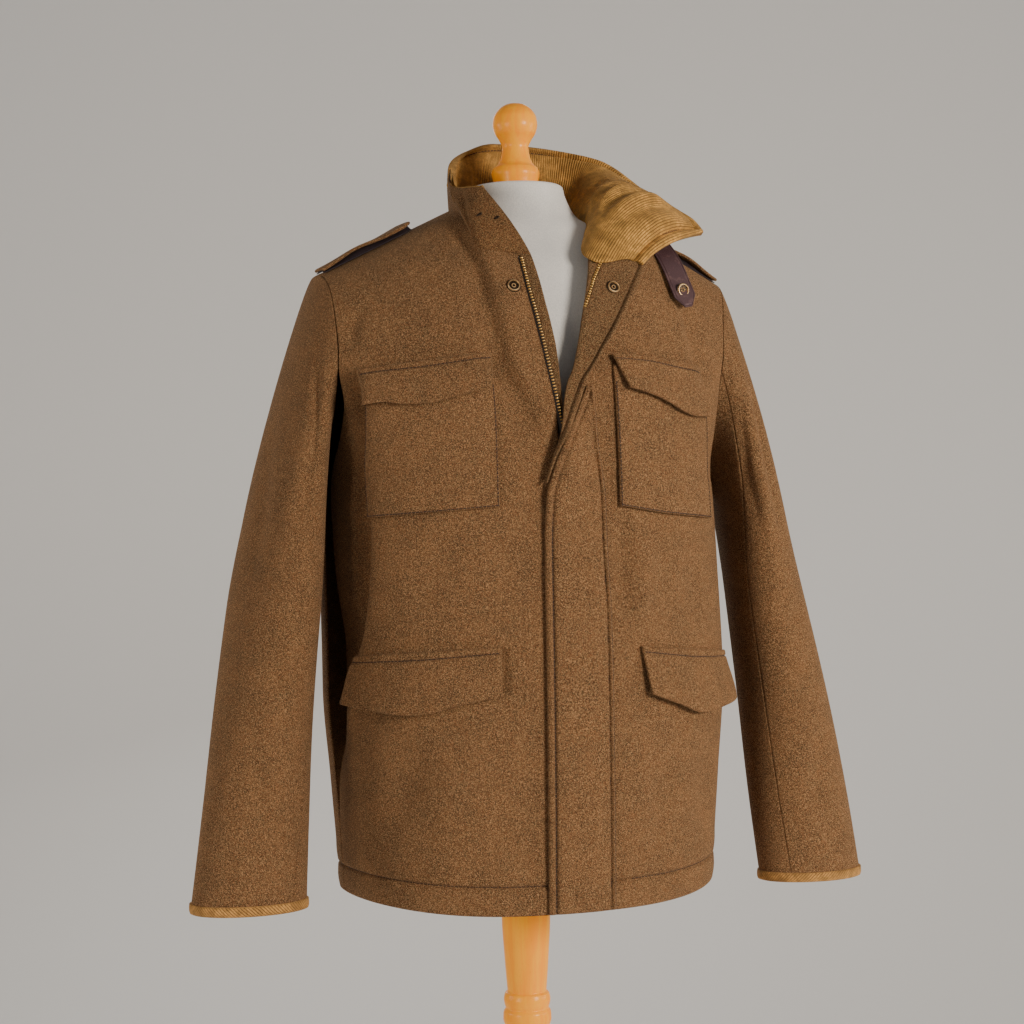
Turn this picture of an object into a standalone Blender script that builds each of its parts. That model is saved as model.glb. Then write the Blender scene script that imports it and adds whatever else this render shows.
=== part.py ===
"""A hip-length wool coat in a field-jacket cut, worn by a limbless dress form on a turned stand.

Metres, +Z up.  The origin is the middle of the stand's underside, the coat's front faces -Y and
the wearer's right side is -X.  Every cloth piece is a thin closed wall mapped on one of three
surfaces: the body of the coat, a sleeve or the collar.  A length along the body is a level:
0 at the hem, 1 at the underarm and 2 on the shoulder line.
"""
import math
from bisect import bisect_right
from collections import namedtuple

import bmesh
import bpy
from mathutils import Matrix, Vector

# ---- cloth ---------------------------------------------------------------------------------
WALL = 0.0025          # melton wool, one layer
DOUBLE_WALL = 0.0032   # turned and pressed double layer, as in a flap or the fly
CORD_WALL = 0.0020     # corduroy
LAY = 0.0009           # clearance under a piece that lies on faceted cloth
SEAM_SHARE = 0.0016    # half a seam's gap, as a share of a panel's width
STEP = 0.01            # parameter step for a surface normal

# ---- body of the coat ----------------------------------------------------------------------
UNDERARM_Z = 1.200
NECK_Z = 1.476         # shoulder line at the neck
NECK_X = 0.076
SHOULDER_SLOPE = 0.495
CENTRE_Y = -0.005
DOME_POWER = 0.8       # roundness of the shoulders, seen from the side
ROW_POWER = 2.3        # roundness of a row, seen from above
HEM_RISE = 0.012       # the hem is this much higher at the side seams

BodyRow = namedtuple("BodyRow", "level height edge_x edge_front edge_back front back roundness sway")
BODY = (
    BodyRow(0.00, 0.782, 0.1925, 0.000, 0.000, 0.143, 0.130, 2.3, 0.000),
    BodyRow(0.28, 0.900, 0.2015, 0.000, 0.000, 0.146, 0.135, 2.3, 0.000),
    BodyRow(0.54, 1.000, 0.2085, 0.000, 0.000, 0.147, 0.137, 2.3, 0.000),
    BodyRow(0.80, 1.110, 0.2070, 0.000, 0.000, 0.146, 0.134, 2.3, -0.003),
    BodyRow(1.00, 1.200, 0.2040, 0.000, 0.000, 0.148, 0.133, 2.3, -0.007),
    BodyRow(1.10, 1.200, 0.2030, 0.040, 0.036, 0.149, 0.133, 1.9, -0.009),
    BodyRow(1.22, 1.200, 0.2030, 0.070, 0.060, 0.150, 0.133, 1.4, -0.010),
    BodyRow(1.40, 1.200, 0.2045, 0.088, 0.070, 0.149, 0.132, 1.0, -0.009),
    BodyRow(1.75, 1.200, 0.2110, 0.092, 0.072, 0.146, 0.130, 1.0, -0.003),
    BodyRow(2.00, 1.200, 0.2150, 0.092, 0.072, 0.145, 0.130, 1.0, 0.000),
)

# x of each front's own edge: down the zip, up the open V, then round the neckline
FrontEdge = namedtuple("FrontEdge", "level x")
RIGHT_EDGE = (
    FrontEdge(0.000, -0.0048), FrontEdge(0.600, -0.0048), FrontEdge(0.880, -0.0074),
    FrontEdge(1.000, -0.0102), FrontEdge(1.040, -0.0150), FrontEdge(1.105, -0.0162),
    FrontEdge(1.154, -0.0195), FrontEdge(1.210, -0.0240), FrontEdge(1.300, -0.0297),
    FrontEdge(1.373, -0.0334), FrontEdge(1.451, -0.0363), FrontEdge(1.543, -0.0380),
    FrontEdge(1.5625, -0.0740),
    FrontEdge(1.600, -0.0800), FrontEdge(1.700, -0.0815), FrontEdge(1.850, -0.0795),
    FrontEdge(2.000, -0.0765),
)
LEFT_EDGE = (
    FrontEdge(0.000, 0.0048), FrontEdge(1.000, 0.0048), FrontEdge(1.168, 0.0050),
    FrontEdge(1.196, 0.0060), FrontEdge(1.255, 0.0115), FrontEdge(1.340, 0.0200),
    FrontEdge(1.471, 0.0320), FrontEdge(1.577, 0.0395), FrontEdge(1.600, 0.0540),
    FrontEdge(1.640, 0.0620), FrontEdge(1.750, 0.0690), FrontEdge(2.000, 0.0765),
)
GUARD_EDGE = (
    FrontEdge(1.110, -0.0105), FrontEdge(1.168, -0.0118), FrontEdge(1.257, -0.0139),
    FrontEdge(1.383, -0.0198), FrontEdge(1.499, -0.0233), FrontEdge(1.543, -0.0245),
)
NECK_BACK_LEVEL = 1.76   # the back neckline at the centre back

# ---- fly -----------------------------------------------------------------------------------
FlyRow = namedtuple("FlyRow", "z free stitched")
FLY = (
    FlyRow(0.7855, -0.0315, 0.0338), FlyRow(0.9900, -0.0318, 0.0335),
    FlyRow(1.1000, -0.0320, 0.0300), FlyRow(1.1670, -0.0320, 0.0275),
    FlyRow(1.1987, -0.0285, 0.0245), FlyRow(1.2260, -0.0195, 0.0222),
    FlyRow(1.2500, -0.0065, 0.0203), FlyRow(1.2640, -0.0010, 0.0192),
    FlyRow(1.2800, 0.0075, 0.0180), FlyRow(1.2900, 0.0118, 0.0172),
)
FacingRow = namedtuple("FacingRow", "roll_z roll_x free_z free_x")
FACING = (
    FacingRow(1.1960, -0.0325, 1.1990, -0.0300), FacingRow(1.2240, -0.0245, 1.2260, -0.0205),
    FacingRow(1.2486, -0.0165, 1.2500, -0.0075), FacingRow(1.2780, -0.0110, 1.2800, 0.0065),
    FacingRow(1.2945, -0.0064, 1.2980, 0.0130), FacingRow(1.3060, -0.0005, 1.3080, 0.0200),
    FacingRow(1.3300, 0.0072, 1.3300, 0.0355), FacingRow(1.3610, 0.0158, 1.3500, 0.0510),
    FacingRow(1.4015, 0.0285, 1.3760, 0.0695), FacingRow(1.4275, 0.0362, 1.4050, 0.0895),
)
FLY_LIFT = 0.0030        # the fly clears the zip under it
FLY_BULGE = 0.0080       # and stands out this much more over the slider
BULGE_X, BULGE_Z = -0.009, 1.230
BULGE_WIDE, BULGE_TALL = 0.020, 0.035
FACING_STAND = 0.0035    # the turned-back edge stands off the front
FACING_SETTLE = (1.270, 1.330)   # between these heights the facing comes to rest on the front

# ---- zip -----------------------------------------------------------------------------------
CHAIN_RADIUS = 0.0018
CHAIN_BOTTOM = 0.792     # the closed chain starts this high
CHAIN_SINK = 0.0005      # and its middle lies this far behind the front's outer face
CHAIN_PIECES = 10
CHAIN_BEND = 4           # it stays straight, then bends to the slider as this power of its height
SLIDER_GAP = 0.0006      # between the closed chain and the slider
SLIDER_X, SLIDER_Z = -0.009, 1.239
SLIDER_SIZE = (0.0090, 0.0052, 0.0110)
SLIDER_SINK = 0.0012     # how far the slider's middle lies behind the front's outer face
STAPLE_SIZE = (0.0022, 0.0036, 0.0080)
STAPLE_EYE = (0.0016, 0.0044)
STAPLE_ROOT = 0.0010     # the staple starts this deep in the slider
STAPLE_FLOOR = 0.0003    # metal under the staple's eye
TAB_HANG = 0.0004        # the tab's bar clears the eye's lower end
TAB_SIZE = (0.0070, 0.0012, 0.0220)
TAB_EYE = (0.0042, 0.0046)
TAB_BAR = 0.0012
ChainPoint = namedtuple("ChainPoint", "x z out")
CHAIN_RIGHT = (
    ChainPoint(-0.0112, 1.2460, 0.0010), ChainPoint(-0.0135, 1.2560, 0.0024),
    ChainPoint(-0.0155, 1.2690, 0.0026), ChainPoint(-0.0186, 1.2850, 0.0026),
    ChainPoint(-0.0229, 1.3080, 0.0026), ChainPoint(-0.0278, 1.3360, 0.0026),
    ChainPoint(-0.0319, 1.3620, 0.0026), ChainPoint(-0.0357, 1.3900, 0.0026),
    ChainPoint(-0.0372, 1.4165, 0.0026),
)
CHAIN_LEFT_HIDDEN = (
    ChainPoint(-0.0066, 1.2460, -0.0010), ChainPoint(-0.0010, 1.2560, -0.0062),
    ChainPoint(0.0085, 1.2800, -0.0066), ChainPoint(0.0140, 1.3100, -0.0066),
    ChainPoint(0.0190, 1.3350, -0.0066), ChainPoint(0.0200, 1.3450, -0.0062),
    ChainPoint(0.0150, 1.3510, -0.0056), ChainPoint(0.0100, 1.3530, -0.0020),
)
FacingPoint = namedtuple("FacingPoint", "across along out")
CHAIN_LEFT_SHOWN = (
    FacingPoint(-0.090, 0.780, 0.0036), FacingPoint(0.020, 0.795, 0.0055),
    FacingPoint(0.075, 0.830, 0.0055), FacingPoint(0.130, 0.880, 0.0055),
    FacingPoint(0.200, 0.930, 0.0055), FacingPoint(0.280, 0.975, 0.0055),
)

# ---- pockets -------------------------------------------------------------------------------
Patch = namedtuple("Patch", "start width top drop height")
CHEST_SWAY = -0.018      # the chest hangs this far towards the wearer's right
CHEST_PATCH = Patch(0.062, 0.131, 1.3100, 0.009, 0.137)
PATCH_LIFT = 0.0014
Flap = namedtuple("Flap", "start width top drop side point lift")
FLAP_STAND = 0.003       # a flap's free edge stands this much off
CHEST_FLAP = Flap(0.061, 0.134, 1.3235, 0.012, 0.033, 0.046, 0.0036)
HIP_FLAP = Flap(0.075, 0.160, 1.0405, 0.012, 0.046, 0.062, 0.0009)

# ---- shoulders and throat ------------------------------------------------------------------
STRAP_INNER_X, STRAP_OUTER_X = 0.122, 0.2115
STRAP_WIDTH = 0.040
STRAP_FORWARD = 0.008
STRAP_FREE_LIFT = 0.004
STRAP_NARROWING = 0.25   # the strap is this share narrower at its free end
STRAP_CHAMFER = 0.55     # and its corners there are cut to this share of the width
STRAP_GAP = 0.0006       # between the strap and its underlay
UNDERLAY_INSET = 0.006
UNDERLAY_WALL = 0.0015
TAB_X, TAB_TOP_Z, TAB_LENGTH, TAB_WIDTH = 0.1310, 1.4330, 0.064, 0.024
TAB_WALL = 0.0022
TAB_LEAN = 0.12          # sideways for each metre down
TAB_STAND = 0.004        # the pointed end stands this much off
TAB_POINT = 0.18         # share of the length that is pointed
TAB_TIP = 0.25           # the tip's share of the width
TAB_SNAP = 0.74          # share of the length where the snap sits
SNAP_RADIUS, SNAP_DEPTH = 0.0066, 0.0024
STUD_RADIUS, STUD_DEPTH = 0.0030, 0.0018

# ---- sleeves -------------------------------------------------------------------------------
SleeveRow = namedtuple("SleeveRow", "share z x y across deep turn")
SLEEVE = (
    SleeveRow(0.30, 1.170, 0.2525, -0.014, 0.0335, 0.068, 8.0),
    SleeveRow(0.45, 1.080, 0.2665, -0.022, 0.0405, 0.062, 14.0),
    SleeveRow(0.64, 0.970, 0.2815, -0.033, 0.0475, 0.053, 12.0),
    SleeveRow(0.82, 0.880, 0.2915, -0.042, 0.0525, 0.044, 7.0),
    SleeveRow(1.00, 0.794, 0.3010, -0.050, 0.0560, 0.037, 0.0),
)
SLEEVE_LENGTHEN = {-1: -0.006, 1: 0.004}   # the right sleeve hangs a little higher
ARMHOLE_CLEAR = 0.0021
CAP_BULGE = 0.005        # how far the sleeve head runs outwards before it falls
FRONT_SEAM, BACK_SEAM = 0.36, 0.72
RING_SEAM = 0.0024
BINDING_WIDTH = 0.010
BINDING_CLEAR = 0.0009
BINDING_SIDES = 20

# ---- collar: a row for each section, on the wool face ---------------------------------------
CollarRow = namedtuple("CollarRow", "share base middle top")
COLLAR = (
    CollarRow(0.00, (-0.0245, -0.1125, 1.4212), (-0.0460, -0.1060, 1.4560), (-0.0700, -0.0905, 1.4905)),
    CollarRow(0.06, (-0.0500, -0.1100, 1.4230), (-0.0660, -0.1000, 1.4585), (-0.0760, -0.0820, 1.4910)),
    CollarRow(0.12, (-0.0745, -0.1040, 1.4262), (-0.0800, -0.0880, 1.4615), (-0.0790, -0.0630, 1.4930)),
    CollarRow(0.20, (-0.0815, -0.0800, 1.4512), (-0.0850, -0.0620, 1.4760), (-0.0805, -0.0350, 1.4980)),
    CollarRow(0.30, (-0.0785, -0.0400, 1.4722), (-0.0810, -0.0290, 1.4940), (-0.0740, -0.0040, 1.5120)),
    CollarRow(0.40, (-0.0690, 0.0120, 1.4750), (-0.0680, 0.0200, 1.5060), (-0.0600, 0.0340, 1.5330)),
    CollarRow(0.48, (-0.0430, 0.0420, 1.4690), (-0.0430, 0.0520, 1.5100), (-0.0350, 0.0610, 1.5490)),
    CollarRow(0.56, (0.0000, 0.0500, 1.4665), (0.0010, 0.0610, 1.5130), (0.0010, 0.0700, 1.5590)),
    CollarRow(0.64, (0.0430, 0.0420, 1.4690), (0.0480, 0.0570, 1.5140), (0.0520, 0.0700, 1.5560)),
    CollarRow(0.72, (0.0690, 0.0120, 1.4750), (0.0880, 0.0260, 1.5140), (0.1100, 0.0480, 1.5385)),
    CollarRow(0.80, (0.0690, -0.0380, 1.4730), (0.1010, -0.0180, 1.5070), (0.1500, 0.0180, 1.5000)),
    CollarRow(0.87, (0.0560, -0.0760, 1.4580), (0.1040, -0.0460, 1.4960), (0.1680, 0.0000, 1.4845)),
    CollarRow(0.92, (0.0460, -0.1020, 1.4390), (0.1080, -0.0660, 1.4845), (0.1780, -0.0110, 1.4745)),
    CollarRow(0.96, (0.0620, -0.1150, 1.4250), (0.1200, -0.0780, 1.4690), (0.1860, -0.0230, 1.4660)),
    CollarRow(1.00, (0.0895, -0.1140, 1.4120), (0.1300, -0.0860, 1.4370), (0.1920, -0.0360, 1.4550)),
)
COLLAR_LAYER_GAP = 0.0005
STUD_PLACES = ((0.085, 0.52), (0.035, 0.50))
STUD_GAP = 0.0006        # between a stud's back and the faceted cloth or leather under it
SNAP_LAY = 0.0002        # the same for the front's snap
FACING_SNAP_GAP = 0.0007
FRONT_SNAP = (-0.0507, 1.3878)   # x and z
FACING_SNAP = (0.62, 0.885)      # shares across and along the facing

# ---- dress form and stand ------------------------------------------------------------------
FormRow = namedtuple("FormRow", "z half_x front back")
FORM = (
    FormRow(0.865, 0.150, 0.108, 0.095), FormRow(0.930, 0.164, 0.122, 0.107),
    FormRow(1.000, 0.166, 0.122, 0.107), FormRow(1.080, 0.158, 0.117, 0.096),
    FormRow(1.200, 0.172, 0.130, 0.106), FormRow(1.300, 0.180, 0.130, 0.106),
    FormRow(1.360, 0.182, 0.120, 0.098), FormRow(1.400, 0.182, 0.104, 0.086),
    FormRow(1.420, 0.180, 0.093, 0.072), FormRow(1.440, 0.148, 0.080, 0.057),
    FormRow(1.455, 0.108, 0.071, 0.044), FormRow(1.470, 0.064, 0.062, 0.031),
    FormRow(1.482, 0.055, 0.057, 0.034), FormRow(1.495, 0.049, 0.054, 0.036),
    FormRow(1.5040, 0.047, 0.052, 0.037),
)
FORM_CLEAR = 0.0044      # vertical room between the two shoulder lines
FORM_RINGS, FORM_SIDES = 28, 28
TurnRow = namedtuple("TurnRow", "z radius")
KNOB = (
    TurnRow(1.5910, 0.0000), TurnRow(1.5895, 0.0085), TurnRow(1.5835, 0.0175),
    TurnRow(1.5755, 0.0222), TurnRow(1.5680, 0.0230), TurnRow(1.5600, 0.0212),
    TurnRow(1.5525, 0.0165), TurnRow(1.5450, 0.0136), TurnRow(1.5370, 0.0146),
    TurnRow(1.5280, 0.0182), TurnRow(1.5230, 0.0232), TurnRow(1.5180, 0.0246),
    TurnRow(1.5120, 0.0236), TurnRow(1.5044, 0.0215), TurnRow(1.5044, 0.0000),
)
POLE = (
    TurnRow(0.8646, 0.0000), TurnRow(0.8646, 0.0255), TurnRow(0.7540, 0.0250),
    TurnRow(0.7200, 0.0232), TurnRow(0.6900, 0.0211), TurnRow(0.6780, 0.0201),
    TurnRow(0.6755, 0.0226), TurnRow(0.6690, 0.0240), TurnRow(0.6625, 0.0228),
    TurnRow(0.6605, 0.0222), TurnRow(0.6560, 0.0244), TurnRow(0.6490, 0.0248),
    TurnRow(0.6430, 0.0230), TurnRow(0.6410, 0.0205), TurnRow(0.5600, 0.0215),
    TurnRow(0.3600, 0.0250), TurnRow(0.1600, 0.0230), TurnRow(0.1100, 0.0210),
    TurnRow(0.1000, 0.0260), TurnRow(0.0920, 0.0275), TurnRow(0.0840, 0.0260),
    TurnRow(0.0603, 0.0290), TurnRow(0.0603, 0.0000),
)
BASE = (
    TurnRow(0.0600, 0.0000), TurnRow(0.0600, 0.0400), TurnRow(0.0540, 0.0440),
    TurnRow(0.0420, 0.0520), TurnRow(0.0320, 0.0900), TurnRow(0.0260, 0.1600),
    TurnRow(0.0220, 0.1860), TurnRow(0.0160, 0.1930), TurnRow(0.0060, 0.1930),
    TurnRow(0.0000, 0.1890), TurnRow(0.0000, 0.0000),
)
TURN_STEPS = 24

# ---- finishes: colour, roughness, metallic ---------------------------------------------------
Finish = namedtuple("Finish", "name colour roughness metallic")
WOOL = Finish("melange_wool", (0.125, 0.076, 0.034), 0.95, 0.0)
WOOL_INNER = Finish("melange_wool_inner", (0.105, 0.064, 0.030), 0.95, 0.0)
CORDUROY = Finish("tan_corduroy", (0.350, 0.195, 0.055), 0.85, 0.0)
LEATHER = Finish("plum_leather", (0.090, 0.040, 0.045), 0.55, 0.0)
UNDERLAY = Finish("dark_underlay", (0.030, 0.018, 0.022), 0.70, 0.0)
BRASS = Finish("antique_brass", (0.560, 0.360, 0.130), 0.35, 1.0)
BEECH = Finish("varnished_beech", (0.750, 0.340, 0.080), 0.30, 0.0)
JERSEY = Finish("form_jersey", (0.780, 0.740, 0.680), 0.90, 0.0)


def clear_scene():
    """Remove every object, and give back the collections for the parts and for the cutters."""
    for thing in list(bpy.data.objects):
        bpy.data.objects.remove(thing, do_unlink=True)
    parts = bpy.data.collections.new("overcoat_on_dress_form")
    cutters = bpy.data.collections.new("cutters")
    bpy.context.scene.collection.children.link(parts)
    bpy.context.scene.collection.children.link(cutters)
    return parts, cutters


PARTS, CUTTERS = clear_scene()


def material(finish):
    """The finish's Principled material, made once."""
    found = bpy.data.materials.get(finish.name)
    if found:
        return found
    made = bpy.data.materials.new(finish.name)
    made.use_nodes = True
    shader = made.node_tree.nodes["Principled BSDF"]
    shader.inputs["Base Color"].default_value = (*finish.colour, 1.0)
    shader.inputs["Roughness"].default_value = finish.roughness
    shader.inputs["Metallic"].default_value = finish.metallic
    return made


def face_outward(mesh):
    """Turn a closed bmesh's faces outward, also where it is thin and curved."""
    bmesh.ops.recalc_face_normals(mesh, faces=mesh.faces[:])
    if mesh.calc_volume(signed=True) < 0.0:
        bmesh.ops.reverse_faces(mesh, faces=mesh.faces[:])


def add_object(name, mesh, finish=None, collection=PARTS):
    """Put a bmesh in the scene as a named object, smooth except at sharp edges."""
    data = bpy.data.meshes.new(name)
    mesh.to_mesh(data)
    mesh.free()
    thing = bpy.data.objects.new(name, data)
    collection.objects.link(thing)
    if finish:
        data.materials.append(material(finish))
        data.shade_smooth()
        data.set_sharp_from_angle(angle=math.radians(40.0))
    return thing


def column(rows, place, name):
    """A named column of a table at a place along it, on a smooth curve that never overshoots."""
    keys = [row[0] for row in rows]
    values = [getattr(row, name) for row in rows]
    if place <= keys[0]:
        return values[0]
    if place >= keys[-1]:
        return values[-1]
    low = bisect_right(keys, place) - 1
    slopes = [(values[i + 1] - values[i]) / (keys[i + 1] - keys[i]) for i in range(len(keys) - 1)]

    def tangent(index):
        if index == 0 or index == len(keys) - 1:
            return slopes[min(index, len(slopes) - 1)]
        before, after = slopes[index - 1], slopes[index]
        if before * after <= 0.0:
            return 0.0
        return 2.0 * before * after / (before + after)

    span = keys[low + 1] - keys[low]
    part = (place - keys[low]) / span
    start, end = tangent(low) * span, tangent(low + 1) * span
    rise = values[low + 1] - values[low]
    return (values[low] + start * part + (3.0 * rise - 2.0 * start - end) * part ** 2
            + (start + end - 2.0 * rise) * part ** 3)


def row_value(rows, place, name):
    """A named column at a place along a table, on straight lines between its rows."""
    keys = [row[0] for row in rows]
    values = [getattr(row, name) for row in rows]
    if place <= keys[0]:
        return values[0]
    if place >= keys[-1]:
        return values[-1]
    low = bisect_right(keys, place) - 1
    part = (place - keys[low]) / (keys[low + 1] - keys[low])
    return values[low] + (values[low + 1] - values[low]) * part


# ---- the body's surface ----------------------------------------------------------------------
def ridge_z(x):
    """Height of the shoulder line over a place x."""
    return NECK_Z - SHOULDER_SLOPE * max(abs(x) - NECK_X, 0.0)


def dome(level):
    """Rise and depth of the shoulder dome, both 0 to 1, at a level from 1 to 2."""
    angle = (min(max(level, 1.0), 2.0) - 1.0) * math.pi / 2.0
    return math.sin(angle) ** DOME_POWER, max(math.cos(angle), 0.0) ** DOME_POWER


def height_at(x, level):
    """Height of the body's surface over x at a level."""
    if level <= 1.0:
        side = min(abs(x) / BODY[0].edge_x, 1.0)
        return column(BODY, level, "height") + HEM_RISE * side ** 3 * (1.0 - level) ** 3
    return UNDERARM_Z + (ridge_z(x) - UNDERARM_Z) * dome(level)[0]


def level_of(x, z):
    """The level whose height over x is z."""
    low, high = 0.0, 2.0
    for _ in range(26):
        middle = (low + high) / 2.0
        if height_at(x, middle) < z:
            low = middle
        else:
            high = middle
    return (low + high) / 2.0


def across_of(x, level):
    """The share of a row, -1 to 1, that lies at x."""
    edge = column(BODY, level, "edge_x")
    offset = (x - column(BODY, level, "sway")) / edge
    share = math.asin(min(abs(offset), 1.0) ** (ROW_POWER / 2.0)) / (math.pi / 2.0)
    return math.copysign(share, offset)


def body_skin(across, level, back):
    """A point of the coat's outer face: a share across the row at a level."""
    across = min(max(across, -1.0), 1.0)
    level = min(max(level, 0.0), 2.0)
    angle = abs(across) * math.pi / 2.0
    edge_x = column(BODY, level, "edge_x")
    edge_y = column(BODY, level, "edge_back" if back else "edge_front")
    depth = column(BODY, level, "back" if back else "front")
    curve = max(math.cos(angle), 0.0) ** (2.0 / column(BODY, level, "roundness"))
    x = column(BODY, level, "sway") + math.copysign(edge_x * math.sin(angle) ** (2.0 / ROW_POWER), across)
    y = (edge_y + (depth - edge_y) * curve) * dome(level)[1]
    return Vector((x, CENTRE_Y + (y if back else -y), height_at(x, level)))


def body_point(across, level, out=0.0, back=False):
    """A point at a distance out from the coat's outer face."""
    here = body_skin(across, level, back)
    if out == 0.0:
        return here
    side = body_skin(across + STEP, level, back) - body_skin(across - STEP, level, back)
    rise = body_skin(across, level + STEP, back) - body_skin(across, level - STEP, back)
    normal = side.cross(rise).normalized()
    return here + normal * (-out if back else out)


def front_point(x, z, out=0.0):
    """A point over the coat's front, from its x and z."""
    level = level_of(x, z)
    return body_point(across_of(x, level), level, out)


def across_after(side, distance, level):
    """The share of a front row that lies a measured distance from the centre front."""
    start = across_of(0.0, level)
    steps = 40
    before = body_skin(start, level, False)
    walked = 0.0
    for index in range(1, steps + 1):
        share = start + (side - start) * index / steps
        here = body_skin(share, level, False)
        piece = (here - before).length
        if walked + piece >= distance:
            return share - (side - start) / steps * (1.0 - (distance - walked) / piece)
        walked += piece
        before = here
    return float(side)


def measured_point(side, distance, z, out):
    """A point over a front, at a tape-measure distance from the centre front and a height."""
    level = level_of(side * 0.12, z)
    x = body_skin(across_after(side, distance, level), level, False).x
    return front_point(x, z, out)


# ---- cloth walls -----------------------------------------------------------------------------
def cloth_wall(name, finish, columns, rows, surface, wall=WALL, base=-WALL):
    """A closed wall: a grid mapped by surface(u, v, out), from out = base to base + wall."""
    mesh = bmesh.new()
    bmesh.ops.create_grid(mesh, x_segments=columns, y_segments=rows, size=0.5)
    inner = list(mesh.verts)
    made = bmesh.ops.extrude_face_region(mesh, geom=mesh.faces[:])
    outer = [item for item in made["geom"] if isinstance(item, bmesh.types.BMVert)]
    for verts, out in ((inner, base), (outer, base + wall)):
        for vert in verts:
            vert.co = surface(vert.co.x + 0.5, vert.co.y + 0.5, out)
    face_outward(mesh)
    return add_object(name, mesh, finish)


def spread(share, breaks):
    """Map 0..1 on a list of (value, rows), so that grid rows fall exactly on the values."""
    total = sum(rows for _, rows in breaks[1:])
    place = share * total
    value = breaks[0][0]
    for target, rows in breaks[1:]:
        if place <= rows:
            return value + (target - value) * place / rows
        place -= rows
        value = target
    return value


FRONT_LEVELS = ((0.0, 0), (0.9, 6), (1.3, 6), (1.543, 3), (1.5625, 1), (1.60, 1), (2.0, 4))
FRONT_ROWS = sum(rows for _, rows in FRONT_LEVELS)
FRONT_COLUMNS = 11


def make_front(name, side, edge):
    """One front: from its zip edge, V and neckline to the side seam, armhole and shoulder."""
    def surface(u, v, out):
        level = spread(v, FRONT_LEVELS)
        start = across_of(row_value(edge, level, "x"), level)
        end = side * (1.0 - SEAM_SHARE)
        level = min(level, 2.0 - SEAM_SHARE)
        return body_point(start + (end - start) * u, level, out)

    return cloth_wall(name, WOOL, FRONT_COLUMNS, FRONT_ROWS, surface)


def make_back():
    """The back in one piece, with its neckline cut down at the centre."""
    levels = ((0.0, 0), (0.9, 5), (1.3, 5), (2.0, 7))

    def surface(u, v, out):
        across = (2.0 * u - 1.0) * (1.0 - SEAM_SHARE)
        level = spread(v, levels)
        if level > 1.0:
            x = abs(body_skin(across, 2.0, True).x) / NECK_X
            crown = NECK_BACK_LEVEL + (2.0 - NECK_BACK_LEVEL) * min(x, 1.0) ** 2
            level = 1.0 + (level - 1.0) * (crown - 1.0)
        return body_point(across, min(level, 2.0 - SEAM_SHARE), out, back=True)

    return cloth_wall("back", WOOL, 16, 17, surface)


# ---- fly and zip -----------------------------------------------------------------------------
def fly_lift(x, z):
    """How far the fly's inner face stands off the front: a soft bulge over the slider."""
    wide = ((x - BULGE_X) / BULGE_WIDE) ** 2
    tall = ((z - BULGE_Z) / BULGE_TALL) ** 2
    return FLY_LIFT + FLY_BULGE * math.exp(-wide - tall)


def facing_point(u, v, out):
    """A point over the turned-back facing: u from its roll to its free edge, v upwards."""
    place = min(max(v, 0.0), 1.0) * (len(FACING) - 1)
    low = min(int(place), len(FACING) - 2)
    part = place - low
    first, second = FACING[low], FACING[low + 1]
    roll_x, roll_z, free_x, free_z = (
        getattr(first, name) * (1.0 - part) + getattr(second, name) * part
        for name in ("roll_x", "roll_z", "free_x", "free_z"))
    x, z = roll_x + (free_x - roll_x) * u, roll_z + (free_z - roll_z) * u
    settle = min(max((z - FACING_SETTLE[0]) / (FACING_SETTLE[1] - FACING_SETTLE[0]), 0.0), 1.0)
    resting = 1.4 * LAY + FACING_STAND * max(u, 0.0)
    return front_point(x, z, fly_lift(x, z) * (1.0 - settle) + resting * settle + out)


def make_fly():
    """The fly's outside, and the facing that shows where its upper end is turned back."""
    def outside(u, v, out):
        z = spread(v, ((FLY[0].z, 0), (1.1670, 9), (1.2900, 8)))
        free, stitched = column(FLY, z, "free"), column(FLY, z, "stitched")
        x = free + (stitched - free) * u
        settle = min((1.0 - u) / 0.3, 1.0)
        lift = LAY + (fly_lift(x, z) - LAY) * settle
        return front_point(x, z, lift + out)

    cloth_wall("fly_outer", WOOL, 4, 17, outside, DOUBLE_WALL, 0.0)
    cloth_wall("fly_facing", WOOL_INNER, 4, len(FACING) - 1, facing_point, DOUBLE_WALL, 0.0)

    def guard(u, v, out):
        level = GUARD_EDGE[0].level + (GUARD_EDGE[-1].level - GUARD_EDGE[0].level) * v
        seam = row_value(RIGHT_EDGE, level, "x") + 0.0006
        x = seam + (row_value(GUARD_EDGE, level, "x") - seam) * u
        return body_point(across_of(x, level), level, out)

    cloth_wall("zip_guard", WOOL_INNER, 1, 10, guard)


def make_tube(name, points, radius, finish):
    """A capped tube through points."""
    data = bpy.data.curves.new(name, "CURVE")
    data.dimensions = "3D"
    data.bevel_depth = radius
    data.bevel_resolution = 1
    data.use_fill_caps = True
    spline = data.splines.new("POLY")
    spline.points.add(len(points) - 1)
    for target, place in zip(spline.points, points):
        target.co = (*place, 1.0)
    thing = bpy.data.objects.new(name, data)
    PARTS.objects.link(thing)
    data.materials.append(material(finish))
    return thing


def add_box(mesh, size, centre):
    """A box of a size about a centre."""
    place = Matrix.Translation(centre) @ Matrix.Diagonal((*size, 1.0))
    bmesh.ops.create_cube(mesh, size=1.0, matrix=place)


def cut(thing, size, centre):
    """Take a box out of an object with a Boolean."""
    mesh = bmesh.new()
    add_box(mesh, size, centre)
    cutter = add_object(thing.name + "_cutter_" + str(len(thing.modifiers)), mesh, None, CUTTERS)
    cutter.hide_render = True
    cutter.display_type = "WIRE"
    boolean = thing.modifiers.new("cut", "BOOLEAN")
    boolean.operation = "DIFFERENCE"
    boolean.object = cutter


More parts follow.
